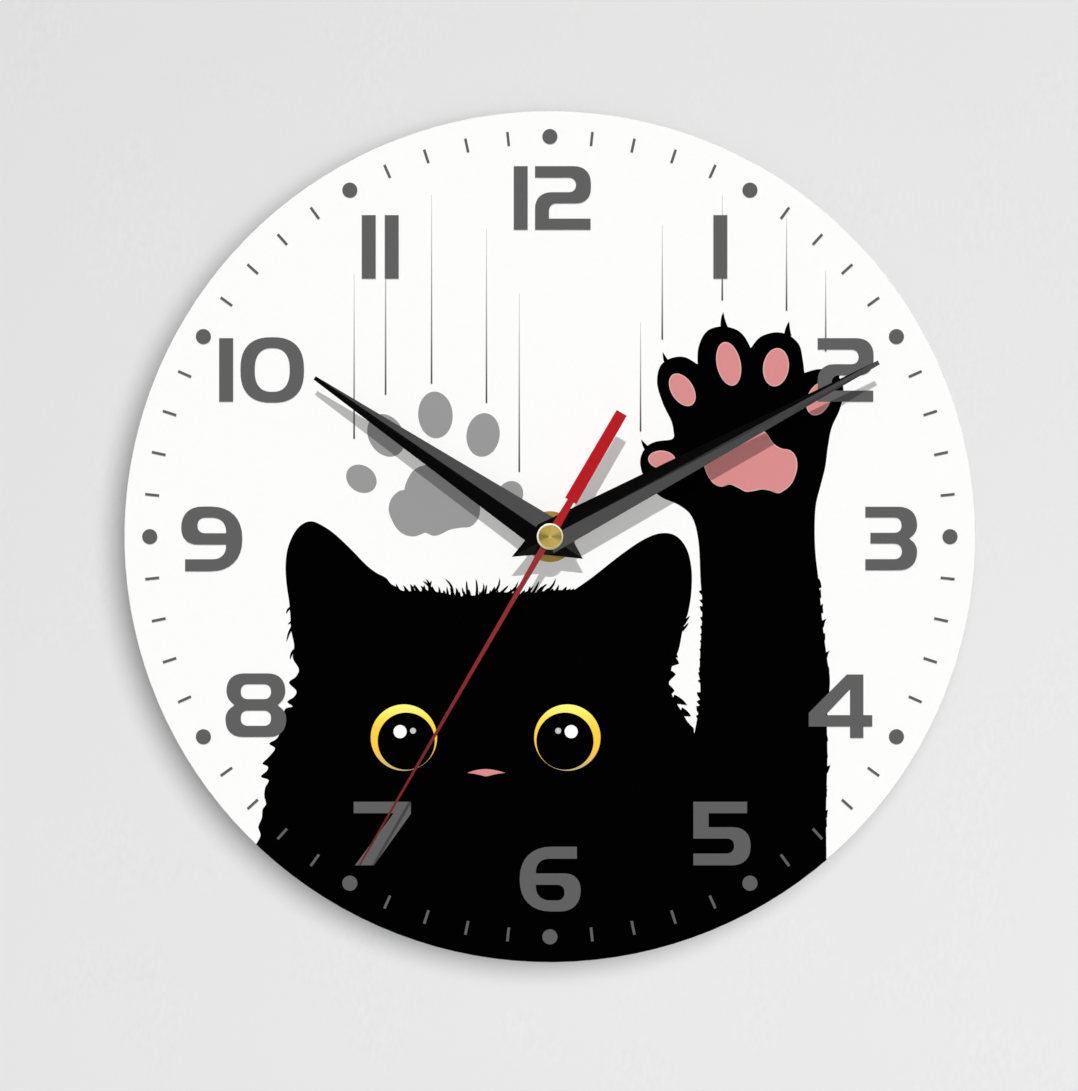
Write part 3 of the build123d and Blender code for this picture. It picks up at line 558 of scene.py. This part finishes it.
FORELEG = outline(
    # wrist and the outside of the dew toe
    [(34.0, -46.0), (35.3, -38.0), (35.2, -30.0), (35.8, -17.0), (35.4, -10.5), (34.9, -1.0),
     (33.4, 4.6), (30.4, 7.4), (26.0, 9.4), (22.6, 12.9), (21.2, 17.5), (22.4, 20.8),
     (24.8, 22.3), (28.4, 22.8), (29.2, 23.6)],
    # first toe
    [(29.2, 23.6), (28.6, 27.0), (26.6, 31.2), (25.2, 36.0), (25.9, 40.0), (28.4, 41.9),
     (31.6, 42.2), (34.7, 40.5)],
    # second toe
    [(34.7, 40.5), (34.9, 44.5), (36.8, 48.2), (40.2, 49.4), (43.7, 48.7), (45.7, 47.0), (47.2, 44.3)],
    # third toe
    [(47.2, 44.3), (49.4, 46.9), (53.0, 48.0), (56.2, 47.3), (58.6, 45.0), (59.4, 41.6), (59.8, 38.5)],
    # fourth toe and the outside of the leg
    [(59.8, 38.5), (63.4, 39.4), (66.8, 38.6), (68.7, 36.0), (68.9, 33.0), (68.0, 29.6),
     (66.2, 25.6), (65.3, 21.0), (64.7, 16.4), (63.6, 12.0), (62.5, 7.5), (62.2, 2.0), (62.4, -4.0),
     (63.2, -11.0), (64.0, -20.0), (65.0, -28.0), (65.8, -34.0), (65.1, -42.0), (65.2, -52.0),
     (64.9, -64.0), rim_run(CAT_RIM[1], CAT_RIM[1] + 2)[0]],
    rim_run(CAT_RIM[1], LEG_RIM),
    [(16.0, -95.0), (34.0, -46.0)],
)

NOSE = outline(
    # its crowned top edge, then the shallow V below
    [(-19.4, -55.5), (-17.6, -54.9), (-15.1, -54.6), (-12.6, -54.9), (-10.5, -55.5)],
    [(-10.5, -55.5), (-12.2, -55.7), (-13.6, -56.0), (-15.0, -56.3), (-16.4, -56.0), (-17.8, -55.7),
     (-19.4, -55.5)],
)

# Claws stand on their toes: root, tip, width.
CLAWS = [
    ((23.5, 20.0), (21.4, 22.9), 1.6),
    ((28.2, 39.8), (26.5, 43.4), 1.7),
    ((41.0, 49.0), (40.7, 52.8), 1.8),
    ((55.9, 47.2), (56.2, 50.6), 1.8),
    ((67.2, 37.4), (68.2, 39.2), 1.8),
]

# Long thin strands on the crown, and small ones below the ears: root, tip.
STRANDS = [
    ((-27.7, -12.4), (-29.9, -10.4)), ((-28.3, -12.2), (-29.1, -9.9)), ((-28.3, -12.2), (-27.8, -10.3)),
    ((-22.8, -13.6), (-24.7, -9.8)), ((-19.3, -14.0), (-19.6, -10.2)), ((-17.2, -13.9), (-17.4, -9.8)),
    ((-16.4, -13.9), (-15.6, -10.9)), ((-15.3, -13.8), (-14.8, -11.2)), ((-13.5, -13.4), (-11.8, -9.6)),
    ((-11.6, -13.3), (-9.7, -11.4)), ((-10.0, -13.4), (-7.4, -10.4)), ((-6.3, -13.5), (-3.8, -11.4)),
    ((-4.0, -13.3), (-2.5, -10.4)), ((-2.2, -12.9), (-0.6, -11.1)), ((-0.9, -12.9), (1.4, -9.7)),
    ((-30.8, -13.0), (-32.3, -11.6)), ((-28.8, -13.0), (-30.4, -11.5)), ((-19.4, -14.2), (-20.6, -11.8)),
    ((31.4, -20.6), (32.9, -18.6)), ((31.0, -22.0), (32.6, -20.2)), ((29.8, -28.4), (30.0, -25.8)),
    ((-60.4, -16.4), (-62.0, -18.2)), ((-60.3, -19.2), (-61.6, -20.6)), ((-60.0, -20.4), (-61.9, -24.8)),
    ((-60.0, -26.6), (-61.0, -28.9)),
]

# Blunt tufts on the right cheek: root, tip, width.
TUFTS = [
    ((28.3, -29.2), (30.4, -29.8), 3.2), ((27.6, -32.6), (29.6, -32.3), 3.2),
    ((27.5, -36.2), (29.3, -36.2), 3.4), ((28.8, -38.2), (32.3, -39.6), 2.4),
    ((30.6, -41.2), (33.2, -42.2), 2.4),
]

TOE_PADS = [
    oval((26.3, 18.1), 3.1, 2.0, -4),
    oval((31.1, 34.5), 2.5, 4.1, 32),
    oval((42.0, 40.6), 2.7, 5.1, 12),
    oval((53.1, 39.8), 2.9, 4.4, -8),
    oval((63.2, 32.4), 2.6, 4.0, -24),
]
PALM_PAD = smooth(
    [(36.4, 16.3), (37.4, 20.6), (41.0, 22.6), (44.6, 25.2), (47.6, 25.9), (50.6, 24.4), (52.4, 21.9),
     (54.2, 20.7), (56.4, 20.2), (57.8, 18.4), (57.9, 15.6), (56.6, 12.4), (54.6, 10.7), (53.4, 10.3),
     (51.6, 10.9), (49.8, 11.2), (47.6, 10.8), (46.0, 10.7), (44.4, 11.5), (42.4, 12.3), (40.4, 11.8),
     (38.6, 12.5), (37.2, 14.3), (36.4, 16.3)]
)

PAW_MARK = [
    [oval((-44.3, 13.6), 3.8, 3.1, -35)],
    [oval((-38.5, 23.8), 4.1, 5.3, 30)],
    [oval((-26.9, 28.6), 4.05, 5.5, 4)],
    [oval((-15.7, 23.9), 3.9, 5.15, -8)],
    [oval((-9.4, 9.7), 3.0, 3.5, -30)],
    [smooth(
        [(-34.2, 11.0), (-33.8, 12.6), (-32.4, 15.2), (-30.4, 16.5), (-28.0, 16.9), (-25.2, 16.4),
         (-23.0, 14.8), (-21.6, 12.6), (-19.6, 10.4), (-17.4, 9.0), (-16.4, 6.8), (-16.9, 4.2),
         (-18.6, 2.4), (-21.0, 2.1), (-23.6, 1.6), (-25.6, 0.6), (-27.4, 0.2), (-29.2, 0.9), (-30.4, 0.5),
         (-32.0, 0.05), (-34.0, 0.4), (-35.7, 1.6), (-37.0, 3.6), (-37.9, 6.4), (-37.2, 9.0),
         (-35.6, 10.6), (-34.2, 11.0)]
    )],
]

# Scratches above the claws: u, foot and top. Each narrows upwards.
STREAK_HALF_WIDTHS = (0.2, 0.06)
STREAKS = [
    (-46.0, 23.0, 61.8), (-38.6, 33.3, 75.5), (-27.8, 35.9, 80.2), (-14.9, 31.4, 72.3), (-7.2, 15.2, 57.1),
    (21.3, 24.7, 50.4), (26.4, 46.3, 73.1), (40.5, 55.5, 80.2), (55.6, 53.1, 74.8), (64.8, 43.5, 62.5),
]

# Numerals in units of a tenth of their height; each entry is a list of loops.
GLYPHS = {
    "1": [[(0, 0), (2.2, 0), (2.2, 10), (0, 10)]],
    "2": [rounded([
        (0, 10, 0), (8.8, 10, 2.7), (8.8, 4.15, 2.4), (2.2, 4.15, 1.2), (2.2, 1.75, 0), (8.75, 1.75, 0),
        (8.75, 0, 0), (0, 0, 0), (0, 5.9, 2.6), (6.45, 5.9, 1.15), (6.45, 8.2, 1.15), (0, 8.2, 0)])],
    "3": [rounded([
        (0, 10, 0), (8.15, 10, 2.9), (8.15, 6.05, 1.0), (6.9, 5.0, 0), (8.15, 3.95, 1.0), (8.15, 0, 2.9),
        (0, 0, 0), (0, 1.75, 0), (5.75, 1.75, 1.2), (5.75, 4.2, 1.2), (0.8, 4.2, 0), (0.8, 5.9, 0),
        (5.7, 5.9, 1.15), (5.7, 8.3, 1.15), (0, 8.3, 0)])],
    "4": [
        [(6, 10), (8.6, 10), (8.6, 3.6), (10, 3.6), (10, 1.8), (8.6, 1.8), (8.6, 0), (6.5, 0), (6.5, 1.8),
         (0, 1.8), (0, 3.95)],
        [(6.5, 7.7), (6.5, 3.6), (2.6, 3.6)]],
    "5": [rounded([
        (0, 10, 0), (8.45, 10, 0), (8.45, 8.2, 0), (2.4, 8.2, 0), (2.4, 6, 0), (9, 6, 2.8), (9, 0, 2.9),
        (0, 0, 0), (0, 1.85, 0), (6.4, 1.85, 1.2), (6.4, 4.2, 1.1), (0, 4.2, 0)])],
    "6": [
        rounded([
            (9, 10.1, 0), (0, 10.1, 5), (0, -0.1, 4.9), (9.6, -0.1, 3.3), (9.6, 5.9, 2.6), (2.55, 5.9, 0),
            (2.55, 8.2, 2.1), (9, 8.2, 0)]),
        rounded([(2.55, 4.1, 0), (7.05, 4.1, 1.2), (7.05, 1.65, 1.2), (2.55, 1.65, 2.2)])],
    "7": [[(0, 10), (9, 10), (9, 8.1), (3.2, 0), (0.2, 0), (6.3, 8.2), (0, 8.2)]],
    "8": [
        rounded([
            (0.15, 10, 2.7), (9.4, 10, 2.7), (9.4, 6.2, 1.0), (8.2, 5, 0), (9.55, 3.9, 1.0), (9.55, 0, 2.7),
            (0, 0, 2.7), (0, 3.9, 1.0), (1.4, 5, 0), (0.15, 6.2, 1.0)]),
        rounded([(2.4, 8.3, 1.1), (7.15, 8.3, 1.1), (7.15, 5.95, 1.1), (2.4, 5.95, 1.1)]),
        rounded([(2.4, 4.15, 1.1), (7.15, 4.15, 1.1), (7.15, 1.75, 1.1), (2.4, 1.75, 1.1)])],
    "0": [oval((5, 5), 5.0, 5.15, power=2.5), oval((5, 5), 2.75, 3.45, power=2.5)],
}
# A 9 is a 6 turned half round; 9.6 is the width of a 6.
GLYPHS["9"] = [[(9.6 - x, 10 - y) for x, y in loop] for loop in GLYPHS["6"]]
# One unit of a numeral, in art units.
GLYPH_UNIT = 1.493

# The track: a ring of dots at the hours and ticks at the other minutes.
DOT_RING = 94.0
DOT_RADIUS = 1.78
TICK_START = 92.3
TICK_END = 95.6
TICK_HALF_WIDTH = 0.31

# Lower left corner of each figure.
FIGURES = [
    ("1", -8.5, 72.1), ("2", -3.5, 72.1), ("1", 38.4, 60.6), ("2", 62.9, 31.7), ("3", 74.1, -7.9),
    ("4", 60.8, -47.3), ("5", 33.7, -77.2), ("6", -7.1, -87.9), ("7", -46.1, -77.2), ("8", -76.2, -47.05),
    ("9", -86.6, -8.0), ("1", -77.7, 31.7), ("0", -72.7, 31.7), ("1", -44.2, 60.6), ("1", -38.8, 60.6),
]


def numerals():
    """Every figure of the twelve hour numbers, set at its lower left corner."""
    shapes = []
    for figure, left, low in FIGURES:
        shape = []
        for loop in GLYPHS[figure]:
            shape.append([(left + x * GLYPH_UNIT, low + y * GLYPH_UNIT) for x, y in loop])
        shapes.append(shape)
    return shapes


def minute_track():
    """Twelve dots, and a short tick at every other minute."""
    shapes = []
    for minute in range(60):
        turn = math.radians(90 - 6 * minute)
        outwards = Vector((math.cos(turn), math.sin(turn)))
        if minute % 5 == 0:
            shapes.append([oval(outwards * DOT_RING, DOT_RADIUS, DOT_RADIUS, steps=32)])
            continue
        side = Vector((-math.sin(turn), math.cos(turn))) * TICK_HALF_WIDTH
        inner, outer = outwards * TICK_START, outwards * TICK_END
        corners = (inner - side, outer - side, outer + side, inner + side)
        shapes.append([[tuple(corner) for corner in corners]])
    return shapes


def streaks():
    """Slim four-sided slivers, foot corners first."""
    low, high = STREAK_HALF_WIDTHS
    shapes = []
    for u, foot, top in STREAKS:
        shapes.append([[(u - low, foot), (u + low, foot), (u + high, top), (u - high, top)]])
    return shapes


def point_along(path, share):
    """The point at a share of a path's length."""
    path = [Vector(point) for point in path]
    lengths = [(b - a).length for a, b in zip(path, path[1:])]
    left = share * sum(lengths)
    for a, b, length in zip(path, path[1:], lengths):
        if left <= length:
            return a + (b - a) * (left / length)
        left -= length
    return path[-1]


def crown_fur():
    """Short tufts on the crown, from left to right. They lean ever further to the right."""
    path = [(-35.4, -12.6), (-27.0, -13.1), (-20.0, -14.2), (-11.9, -13.2), (-5.8, -13.6), (5.6, -12.7)]
    # Roots sit this far inside the outline.
    sunk = Vector((0, 0.5))
    count = 44
    locks = []
    for step in range(count):
        share = (step + rng.random()) / count
        root = point_along(path, share)
        lean = math.radians(35 - 85 * share + rng.uniform(-16, 16))
        tip = root + Vector((-math.sin(lean), math.cos(lean))) * rng.uniform(0.8, 2.1)
        width = rng.uniform(0.8, 1.3)
        bend = rng.uniform(-0.3, 0.3)
        locks.append([lock(root - sunk, tip, width, bend, 0.7)])
    return locks


def edge_fur(path, count, reach, width, droop, side):
    """Low tufts along an edge of the leg: side is -1 to point left and 1 to point right."""
    # Roots sit this far inside the outline.
    sunk = 1.2
    locks = []
    for step in range(count):
        share = (step + rng.uniform(0.2, 0.8)) / count
        root = point_along(path, share)
        angle = math.radians(droop + rng.uniform(-18, 18))
        out = Vector((side * math.cos(angle), -math.sin(angle)))
        tip = root + out * reach * rng.uniform(0.55, 1.25)
        own_width = width * rng.uniform(0.7, 1.3)
        bend = side * rng.uniform(-0.3, 0.1)
        locks.append([lock(root - out * sunk, tip, own_width, bend)])
    return locks


def cat_fur():
    """All the fur that stands out from the two outlines."""
    leg_inside = [(35.3, -12.0), (35.6, -22.0), (35.0, -34.0), (34.4, -43.0)]
    leg_outside = [(63.2, -10.0), (64.4, -24.0), (65.4, -33.0), (65.0, -44.0), (64.9, -70.0)]
    strands = [[lock(root, tip, 0.7, rng.uniform(-0.3, 0.3), 0.45)] for root, tip in STRANDS]
    tufts = [[lock(root, tip, width, 0.12)] for root, tip, width in TUFTS]
    return (
        crown_fur()
        + strands
        + tufts
        + edge_fur(leg_inside, count=16, reach=0.3, width=2.2, droop=-20, side=-1)
        + edge_fur(leg_outside, count=18, reach=0.45, width=2.6, droop=50, side=1)
    )


def claws():
    """Slim hooks that all bend the same way."""
    return [[lock(root, tip, width, 0.1)] for root, tip, width in CLAWS]


def eye_parts():
    """The pupil sits low and towards the nose in its iris; two lights sit above its middle."""
    irises, pupils, lights, small_lights = [], [], [], []
    for side, u in zip((1, -1), EYES):
        irises.append([oval((u, EYE_LEVEL), IRIS_RADIUS, IRIS_RADIUS, steps=64)])
        middle = (u + side * 0.56, EYE_LEVEL - 0.84)
        pupils.append([oval(middle, PUPIL_RADIUS, PUPIL_RADIUS, steps=64)])
        lights.append([oval((u - side * 0.9, EYE_LEVEL + 1.4), 1.55, 1.55)])
        small_lights.append([oval((u + side * 2.15, EYE_LEVEL + 1.6), 0.7, 0.7)])
    return irises, pupils, lights, small_lights


def print_dial():
    """The sheets of the print, stacked from the paw mark up to the numerals."""
    black = ink("ink_black", (0.0003, 0.0003, 0.0003), 0.7, specular=0.01)
    mid_grey = ink("ink_grey", (0.111, 0.111, 0.111))
    pale = ink("ink_pale_grey", (0.3, 0.3, 0.3))
    pink = ink("ink_pink", (0.66, 0.255, 0.255))
    pale_pink = ink("ink_pale_pink", (0.74, 0.42, 0.42))
    white = ink("ink_white", (0.93, 0.93, 0.93))
    silver = ink("ink_silver", (0.55, 0.55, 0.55))
    irises, pupils, lights, small_lights = eye_parts()
    pads = [*TOE_PADS, PALM_PAD]
    # Half the width of the pale line round a pad.
    rim = 0.12
    print_piece("print_paw_mark", PAW_MARK, 1, pale)
    print_piece("print_cat", [[HEAD]], 2, black)
    print_piece("print_foreleg", [[FORELEG]], 3, black)
    print_piece("print_fur", cat_fur() + claws(), 4, black)
    print_piece("print_pad_edges", [[grown(pad, rim)] for pad in pads], 5, pale_pink)
    print_piece("print_pads", [[grown(pad, -rim)] for pad in pads], 6, pink)
    print_piece("print_nose", [[NOSE]], 5, pink)
    print_piece("print_irises", irises, 5, iris_yellow())
    print_piece("print_pupils", pupils, 6, black)
    print_piece("print_eye_lights", lights, 7, white)
    print_piece("print_small_eye_lights", small_lights, 7, silver)
    scratches = print_piece("print_streaks", streaks(), 6, streak_grey())
    # The ink fades by "rise": 0 at the two foot corners of each scratch, 1 at the two above.
    rise = scratches.data.attributes.new("rise", "FLOAT", "POINT")
    rise.data.foreach_set("value", [0.0, 0.0, 1.0, 1.0] * len(STREAKS))
    print_piece("print_track", minute_track(), 7, mid_grey)
    print_piece("print_numerals", numerals(), 8, mid_grey)


# ------------------------------------------------------------------ finishes of the CAD parts
def finish_parts():
    """Gives every CAD part its material."""
    finishes = {
        dial_white(): ["dial_board"],
        plastic("case_black", (0.018, 0.018, 0.02), 0.5): ["movement_case"],
        plastic("cover_black", (0.03, 0.03, 0.032), 0.42, 1800.0): ["back_cover"],
        plastic("plate_white", (0.75, 0.75, 0.71), 0.5): ["train_plate"],
        plastic("gasket_rubber", (0.012, 0.012, 0.012), 0.75): ["rubber_gasket"],
        turned_brass("washer_brass", (0.54, 0.36, 0.075), 0.45): ["brass_washer"],
        turned_brass("nut_brass", (0.42, 0.31, 0.09), 0.3): ["hex_nut"],
        turned_brass("bushing_brass", (0.45, 0.33, 0.1), 0.26, bump=0.05): ["threaded_bushing"],
        cap_brass(): ["second_cap"],
        metal("collar_brass", (0.6, 0.48, 0.22), 0.3): ["hour_collar", "minute_collar", "minute_arbor"],
        metal("motor_iron", (0.42, 0.43, 0.45), 0.4, (1, 1, 12)): ["stator", "coil_core"],
        metal("arbor_steel", (0.62, 0.63, 0.65), 0.25, (1, 30, 1)): [
            "intermediate_arbor", "third_arbor", "seconds_arbor",
        ],
        metal("spring_steel", (0.4, 0.42, 0.48), 0.25): ["clutch_spring"],
        metal("contact_nickel", (0.72, 0.7, 0.66), 0.22, (20, 1, 1)): [
            "contact_positive", "contact_negative",
        ],
        plastic("bobbin_red", (0.4, 0.03, 0.02), 0.3): ["coil_bobbin"],
        winding_copper(): ["coil_winding", "coil_leads"],
        board_green(): ["circuit_board"],
        plastic("resin_black", (0.01, 0.01, 0.01), 0.15, 300.0, 0.3): ["clock_chip"],
        metal("crystal_can", (0.75, 0.75, 0.76), 0.2, (20, 1, 1)): ["quartz_crystal"],
        plastic("magnet_ferrite", (0.05, 0.05, 0.055), 0.6, 5000.0, 0.3): ["rotor_magnet"],
        plastic("gear_white", (0.8, 0.8, 0.76), 0.4): [
            "seconds_wheel", "centre_wheel", "minute_wheel", "rotor_pinion",
        ],
        plastic("gear_blue", (0.09, 0.2, 0.42), 0.4): ["third_wheel"],
        plastic("gear_amber", (0.55, 0.28, 0.04), 0.4): ["intermediate_wheel"],
        plastic("tube_black", (0.02, 0.02, 0.02), 0.4): ["hour_wheel"],
        plastic("knob_black", (0.04, 0.04, 0.042), 0.35): ["setting_knob"],
        hand_black(): ["hour_hand", "minute_hand"],
        hand_red(): ["second_hand"],
        metal("cell_steel", (0.7, 0.7, 0.7), 0.22, (20, 1, 1)): ["battery_cell"],
        sleeve_print(): ["battery_sleeve"],
    }
    for material, names in finishes.items():
        for name in names:
            node = NODES[name]
            node.data.materials.clear()
            node.data.materials.append(material)


def soften(name, width):
    """Rounds a part's sharp edges, as paint, moulding and stamping do."""
    bevel = NODES[name].modifiers.new("soft_edges", "BEVEL")
    bevel.width = width
    bevel.segments = 2
    bevel.limit_method = "ANGLE"
    bevel.angle_limit = math.radians(40)
    bevel.harden_normals = False


def soften_parts():
    """The parts whose edges catch the light, each with its bevel's width in metres."""
    for name, width in (
        ("second_hand", 0.00012),
        ("movement_case", 0.00015),
        ("back_cover", 0.00012),
        ("hex_nut", 0.0001),
        ("brass_washer", 0.00005),
        ("setting_knob", 0.00008),
        ("battery_sleeve", 0.00005),
    ):
        soften(name, width)


# ------------------------------------------------------------------ room, light and camera
# Metres: the wall stands just behind the clock, and the floor far below it.
WALL_GAP = 0.0006
WALL_HALF_WIDTH = 5.0
WALL_TOP = 4.0
FLOOR_LEVEL = -0.6
FLOOR_REACH = 9.0
# Strengths of the world's light, and of the backdrop that the camera sees past the wall.
AMBIENT = 0.13
BACKDROP = 0.5
# In reflections a tall bright band stands right of the camera: sines of its middle, its half
# width and its soft edge.
BAND_MIDDLE = 0.18
BAND_HALF = 0.085
BAND_EDGE = 0.03
BAND_REFLECTION = 2.0
DARK_REFLECTION = 0.02
SIDE_REFLECTION = 0.6
# The room in front gives way to its sides between these two, as the y of a direction.
FRONT_END = -0.85
SIDE_START = -0.6


def sheet(name, corners, material):
    """A flat backdrop that isn't part of the clock."""
    mesh = bpy.data.meshes.new(name)
    mesh.from_pydata(corners, [], [list(range(len(corners)))])
    mesh.materials.append(material)
    made = bpy.data.objects.new(name, mesh)
    bpy.context.scene.collection.objects.link(made)
    made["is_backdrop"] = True
    return made


def wall_paint():
    """Pale plaster, with painted shade towards the top. From behind it is clear, so the movement can be
    seen and lit.
    """
    paint = Paint("wall_plaster", (0.86, 0.86, 0.86), 0.9, specular=0.1)
    patches = paint.ranged(paint.noise(28.0, 2.0), 0.0, 1.0, 0.45, 0.65)
    specks = paint.noise(480.0, 3.0, (1.6, 1, 0.8))
    mottled = paint.mixed(patches, grey(0.5), specks)
    # Painted shade: the wall darkens a little from below the clock, -0.15 m, to above it, 0.15 m.
    _, _, z = paint.axes()
    height = paint.ranged(z, 0.0, 1.0, -0.15, 0.15)
    painted_shade_above = paint.mixed(height, grey(1.0), grey(0.92))
    paint.colored(paint.mixed(1.0, paint.shade(0.05, mottled), painted_shade_above, way="MULTIPLY"))
    paint.bumped(paint.noise(160.0, 5.0), 0.06, 0.0003)
    geometry = paint.node("ShaderNodeNewGeometry")
    path = paint.node("ShaderNodeLightPath")
    clear = paint.math("MAXIMUM", geometry.outputs["Backfacing"], path.outputs["Is Shadow Ray"])
    either = paint.node("ShaderNodeMixShader", Fac=clear)
    paint.feed(either, 1, paint.shader.outputs[0])
    paint.feed(either, 2, paint.node("ShaderNodeBsdfTransparent").outputs[0])
    paint.feed(paint.nodes["Material Output"], "Surface", either.outputs[0])
    return paint.material


def floor_paint():
    """Plain and pale, with faint clouds."""
    paint = Paint("floor_pale", (0.78, 0.78, 0.78), 0.8, specular=0.1)
    paint.colored(paint.shade(0.02, paint.noise(3.0)))
    return paint.material


def build_room():
    """The wall and the floor: a backdrop that doesn't colour or mirror in the clock."""
    side, top, reach = WALL_HALF_WIDTH, WALL_TOP, FLOOR_REACH
    upright = ((-side, FLOOR_LEVEL), (side, FLOOR_LEVEL), (side, top), (-side, top))
    flat = ((-reach, -reach), (reach, -reach), (reach, reach), (-reach, reach))
    wall = sheet("wall", [(x, WALL_GAP, z) for x, z in upright], wall_paint())
    floor = sheet("floor", [(x, y, FLOOR_LEVEL) for x, y in flat], floor_paint())
    for backdrop in (wall, floor):
        backdrop.visible_glossy = False
        backdrop.visible_diffuse = False
    return wall, floor


def lamp(name, kind, place, energy, lights_only, **settings):
    """A light at a place, aimed at the origin; lights_only is the collection it lights."""
    data = bpy.data.lights.new(name, kind)
    data.energy = energy
    for setting, value in settings.items():
        setattr(data, setting, value)
    made = bpy.data.objects.new(name, data)
    bpy.context.scene.collection.objects.link(made)
    made.location = place
    made.rotation_euler = (-Vector(place)).to_track_quat("-Z", "Y").to_euler()
    made.visible_camera = False
    made.light_linking.receiver_collection = lights_only
    made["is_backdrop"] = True
    return made


def group(name, members):
    """A collection for lights to aim at."""
    made = bpy.data.collections.new(name)
    bpy.context.scene.collection.children.link(made)
    for member in members:
        made.objects.link(member)
    return made


def light_world():
    """Even light all round. In reflections the room in front is dark but for one tall band, which
    tells the facets of the hands apart, and it is plain to the sides and behind the wall."""
    world = bpy.data.worlds.new("studio")
    bpy.context.scene.world = world
    graph = Graph(world)
    path = graph.node("ShaderNodeLightPath")
    toward = graph.node("ShaderNodeTexCoord").outputs["Generated"]
    split = graph.node("ShaderNodeSeparateXYZ", Vector=toward)
    off_band = graph.math("ABSOLUTE", graph.math("SUBTRACT", split.outputs["X"], BAND_MIDDLE))
    front = graph.ranged(off_band, BAND_REFLECTION, DARK_REFLECTION, BAND_HALF, BAND_HALF + BAND_EDGE)
    mirrored = graph.ranged(split.outputs["Y"], front, SIDE_REFLECTION, FRONT_END, SIDE_START)
    strength = graph.blended(path.outputs["Is Glossy Ray"], AMBIENT, mirrored)
    seen = graph.blended(path.outputs["Is Camera Ray"], strength, BACKDROP)
    background = graph.nodes["Background"]
    graph.feed(background, "Strength", seen)
    graph.feed(background, "Color", grey(1.0))


def light_room(clock, wall, floor):
    """Every light shines on one group only: the clock's pieces, the wall or the floor."""
    # Key: above and in front, small, so each hand throws a crisp shadow straight down.
    key = lamp("key", "SUN", (0.0, -1.0, 0.71), 2.12, lights_only=clock, angle=math.radians(1.0))
    # Fill: from the camera's side, so its own shadows hide behind the hands.
    fill = lamp("fill", "SUN", (0.0, -1.0, 0.0), 1.22, lights_only=clock, angle=math.radians(1.0))
    for plain in (key, fill):
        plain.visible_glossy = False
    # The wall's own lights: the disc's shadow falls soft to the lower left, and faintly above.
    lamp("wall_wash", "AREA", (0.42, -2.4, 0.29), 53.5, lights_only=wall, shape="DISK", size=1.6)
    lamp("wall_fill", "AREA", (0.45, -2.0, -0.55), 2.5, lights_only=wall, shape="DISK", size=1.2)
    lamp("floor_wash", "SUN", (0.0, 0.0, 4.0), 1.6, lights_only=floor)
    # Soft lights behind, for the movement. They light what is seen from there and don't bounce.
    for name, place, energy in (
        ("rear_left", (-0.9, 0.9, 0.5), 14.0),
        ("rear_right", (0.8, 0.7, -0.2), 4.0),
    ):
        keep_direct(lamp(name, "AREA", place, energy, lights_only=clock, shape="DISK", size=0.7))


def keep_direct(light):
    """Leaves a light out of every bounce after the first."""
    # Ray depth is 1 at the first bounce and 2 at the second.
    between = 1.5
    graph = Graph(light.data)
    depth = graph.node("ShaderNodeLightPath").outputs["Ray Depth"]
    graph.feed(graph.nodes["Emission"], "Strength", graph.math("LESS_THAN", depth, between))


def place_camera():
    """Straight in front of the dial, a little left of and below the hand axis, in metres."""
    data = bpy.data.cameras.new("camera")
    data.lens = 100.0
    data.sensor_width = 36.0
    camera = bpy.data.objects.new("camera", data)
    bpy.context.scene.collection.objects.link(camera)
    distance = 0.890
    camera.location = (-0.0032, DIAL_FRONT - distance, -0.0026)
    camera.rotation_euler = (math.radians(90), 0, 0)
    bpy.context.scene.camera = camera
    camera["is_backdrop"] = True


finish_parts()
soften_parts()
print_dial()
wall, floor = build_room()
light_world()
light_room(
    group("clock_pieces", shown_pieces()),
    group("wall_pieces", [wall]),
    group("floor_pieces", [floor]),
)
place_camera()
bpy.context.scene.view_settings.view_transform = "Standard"
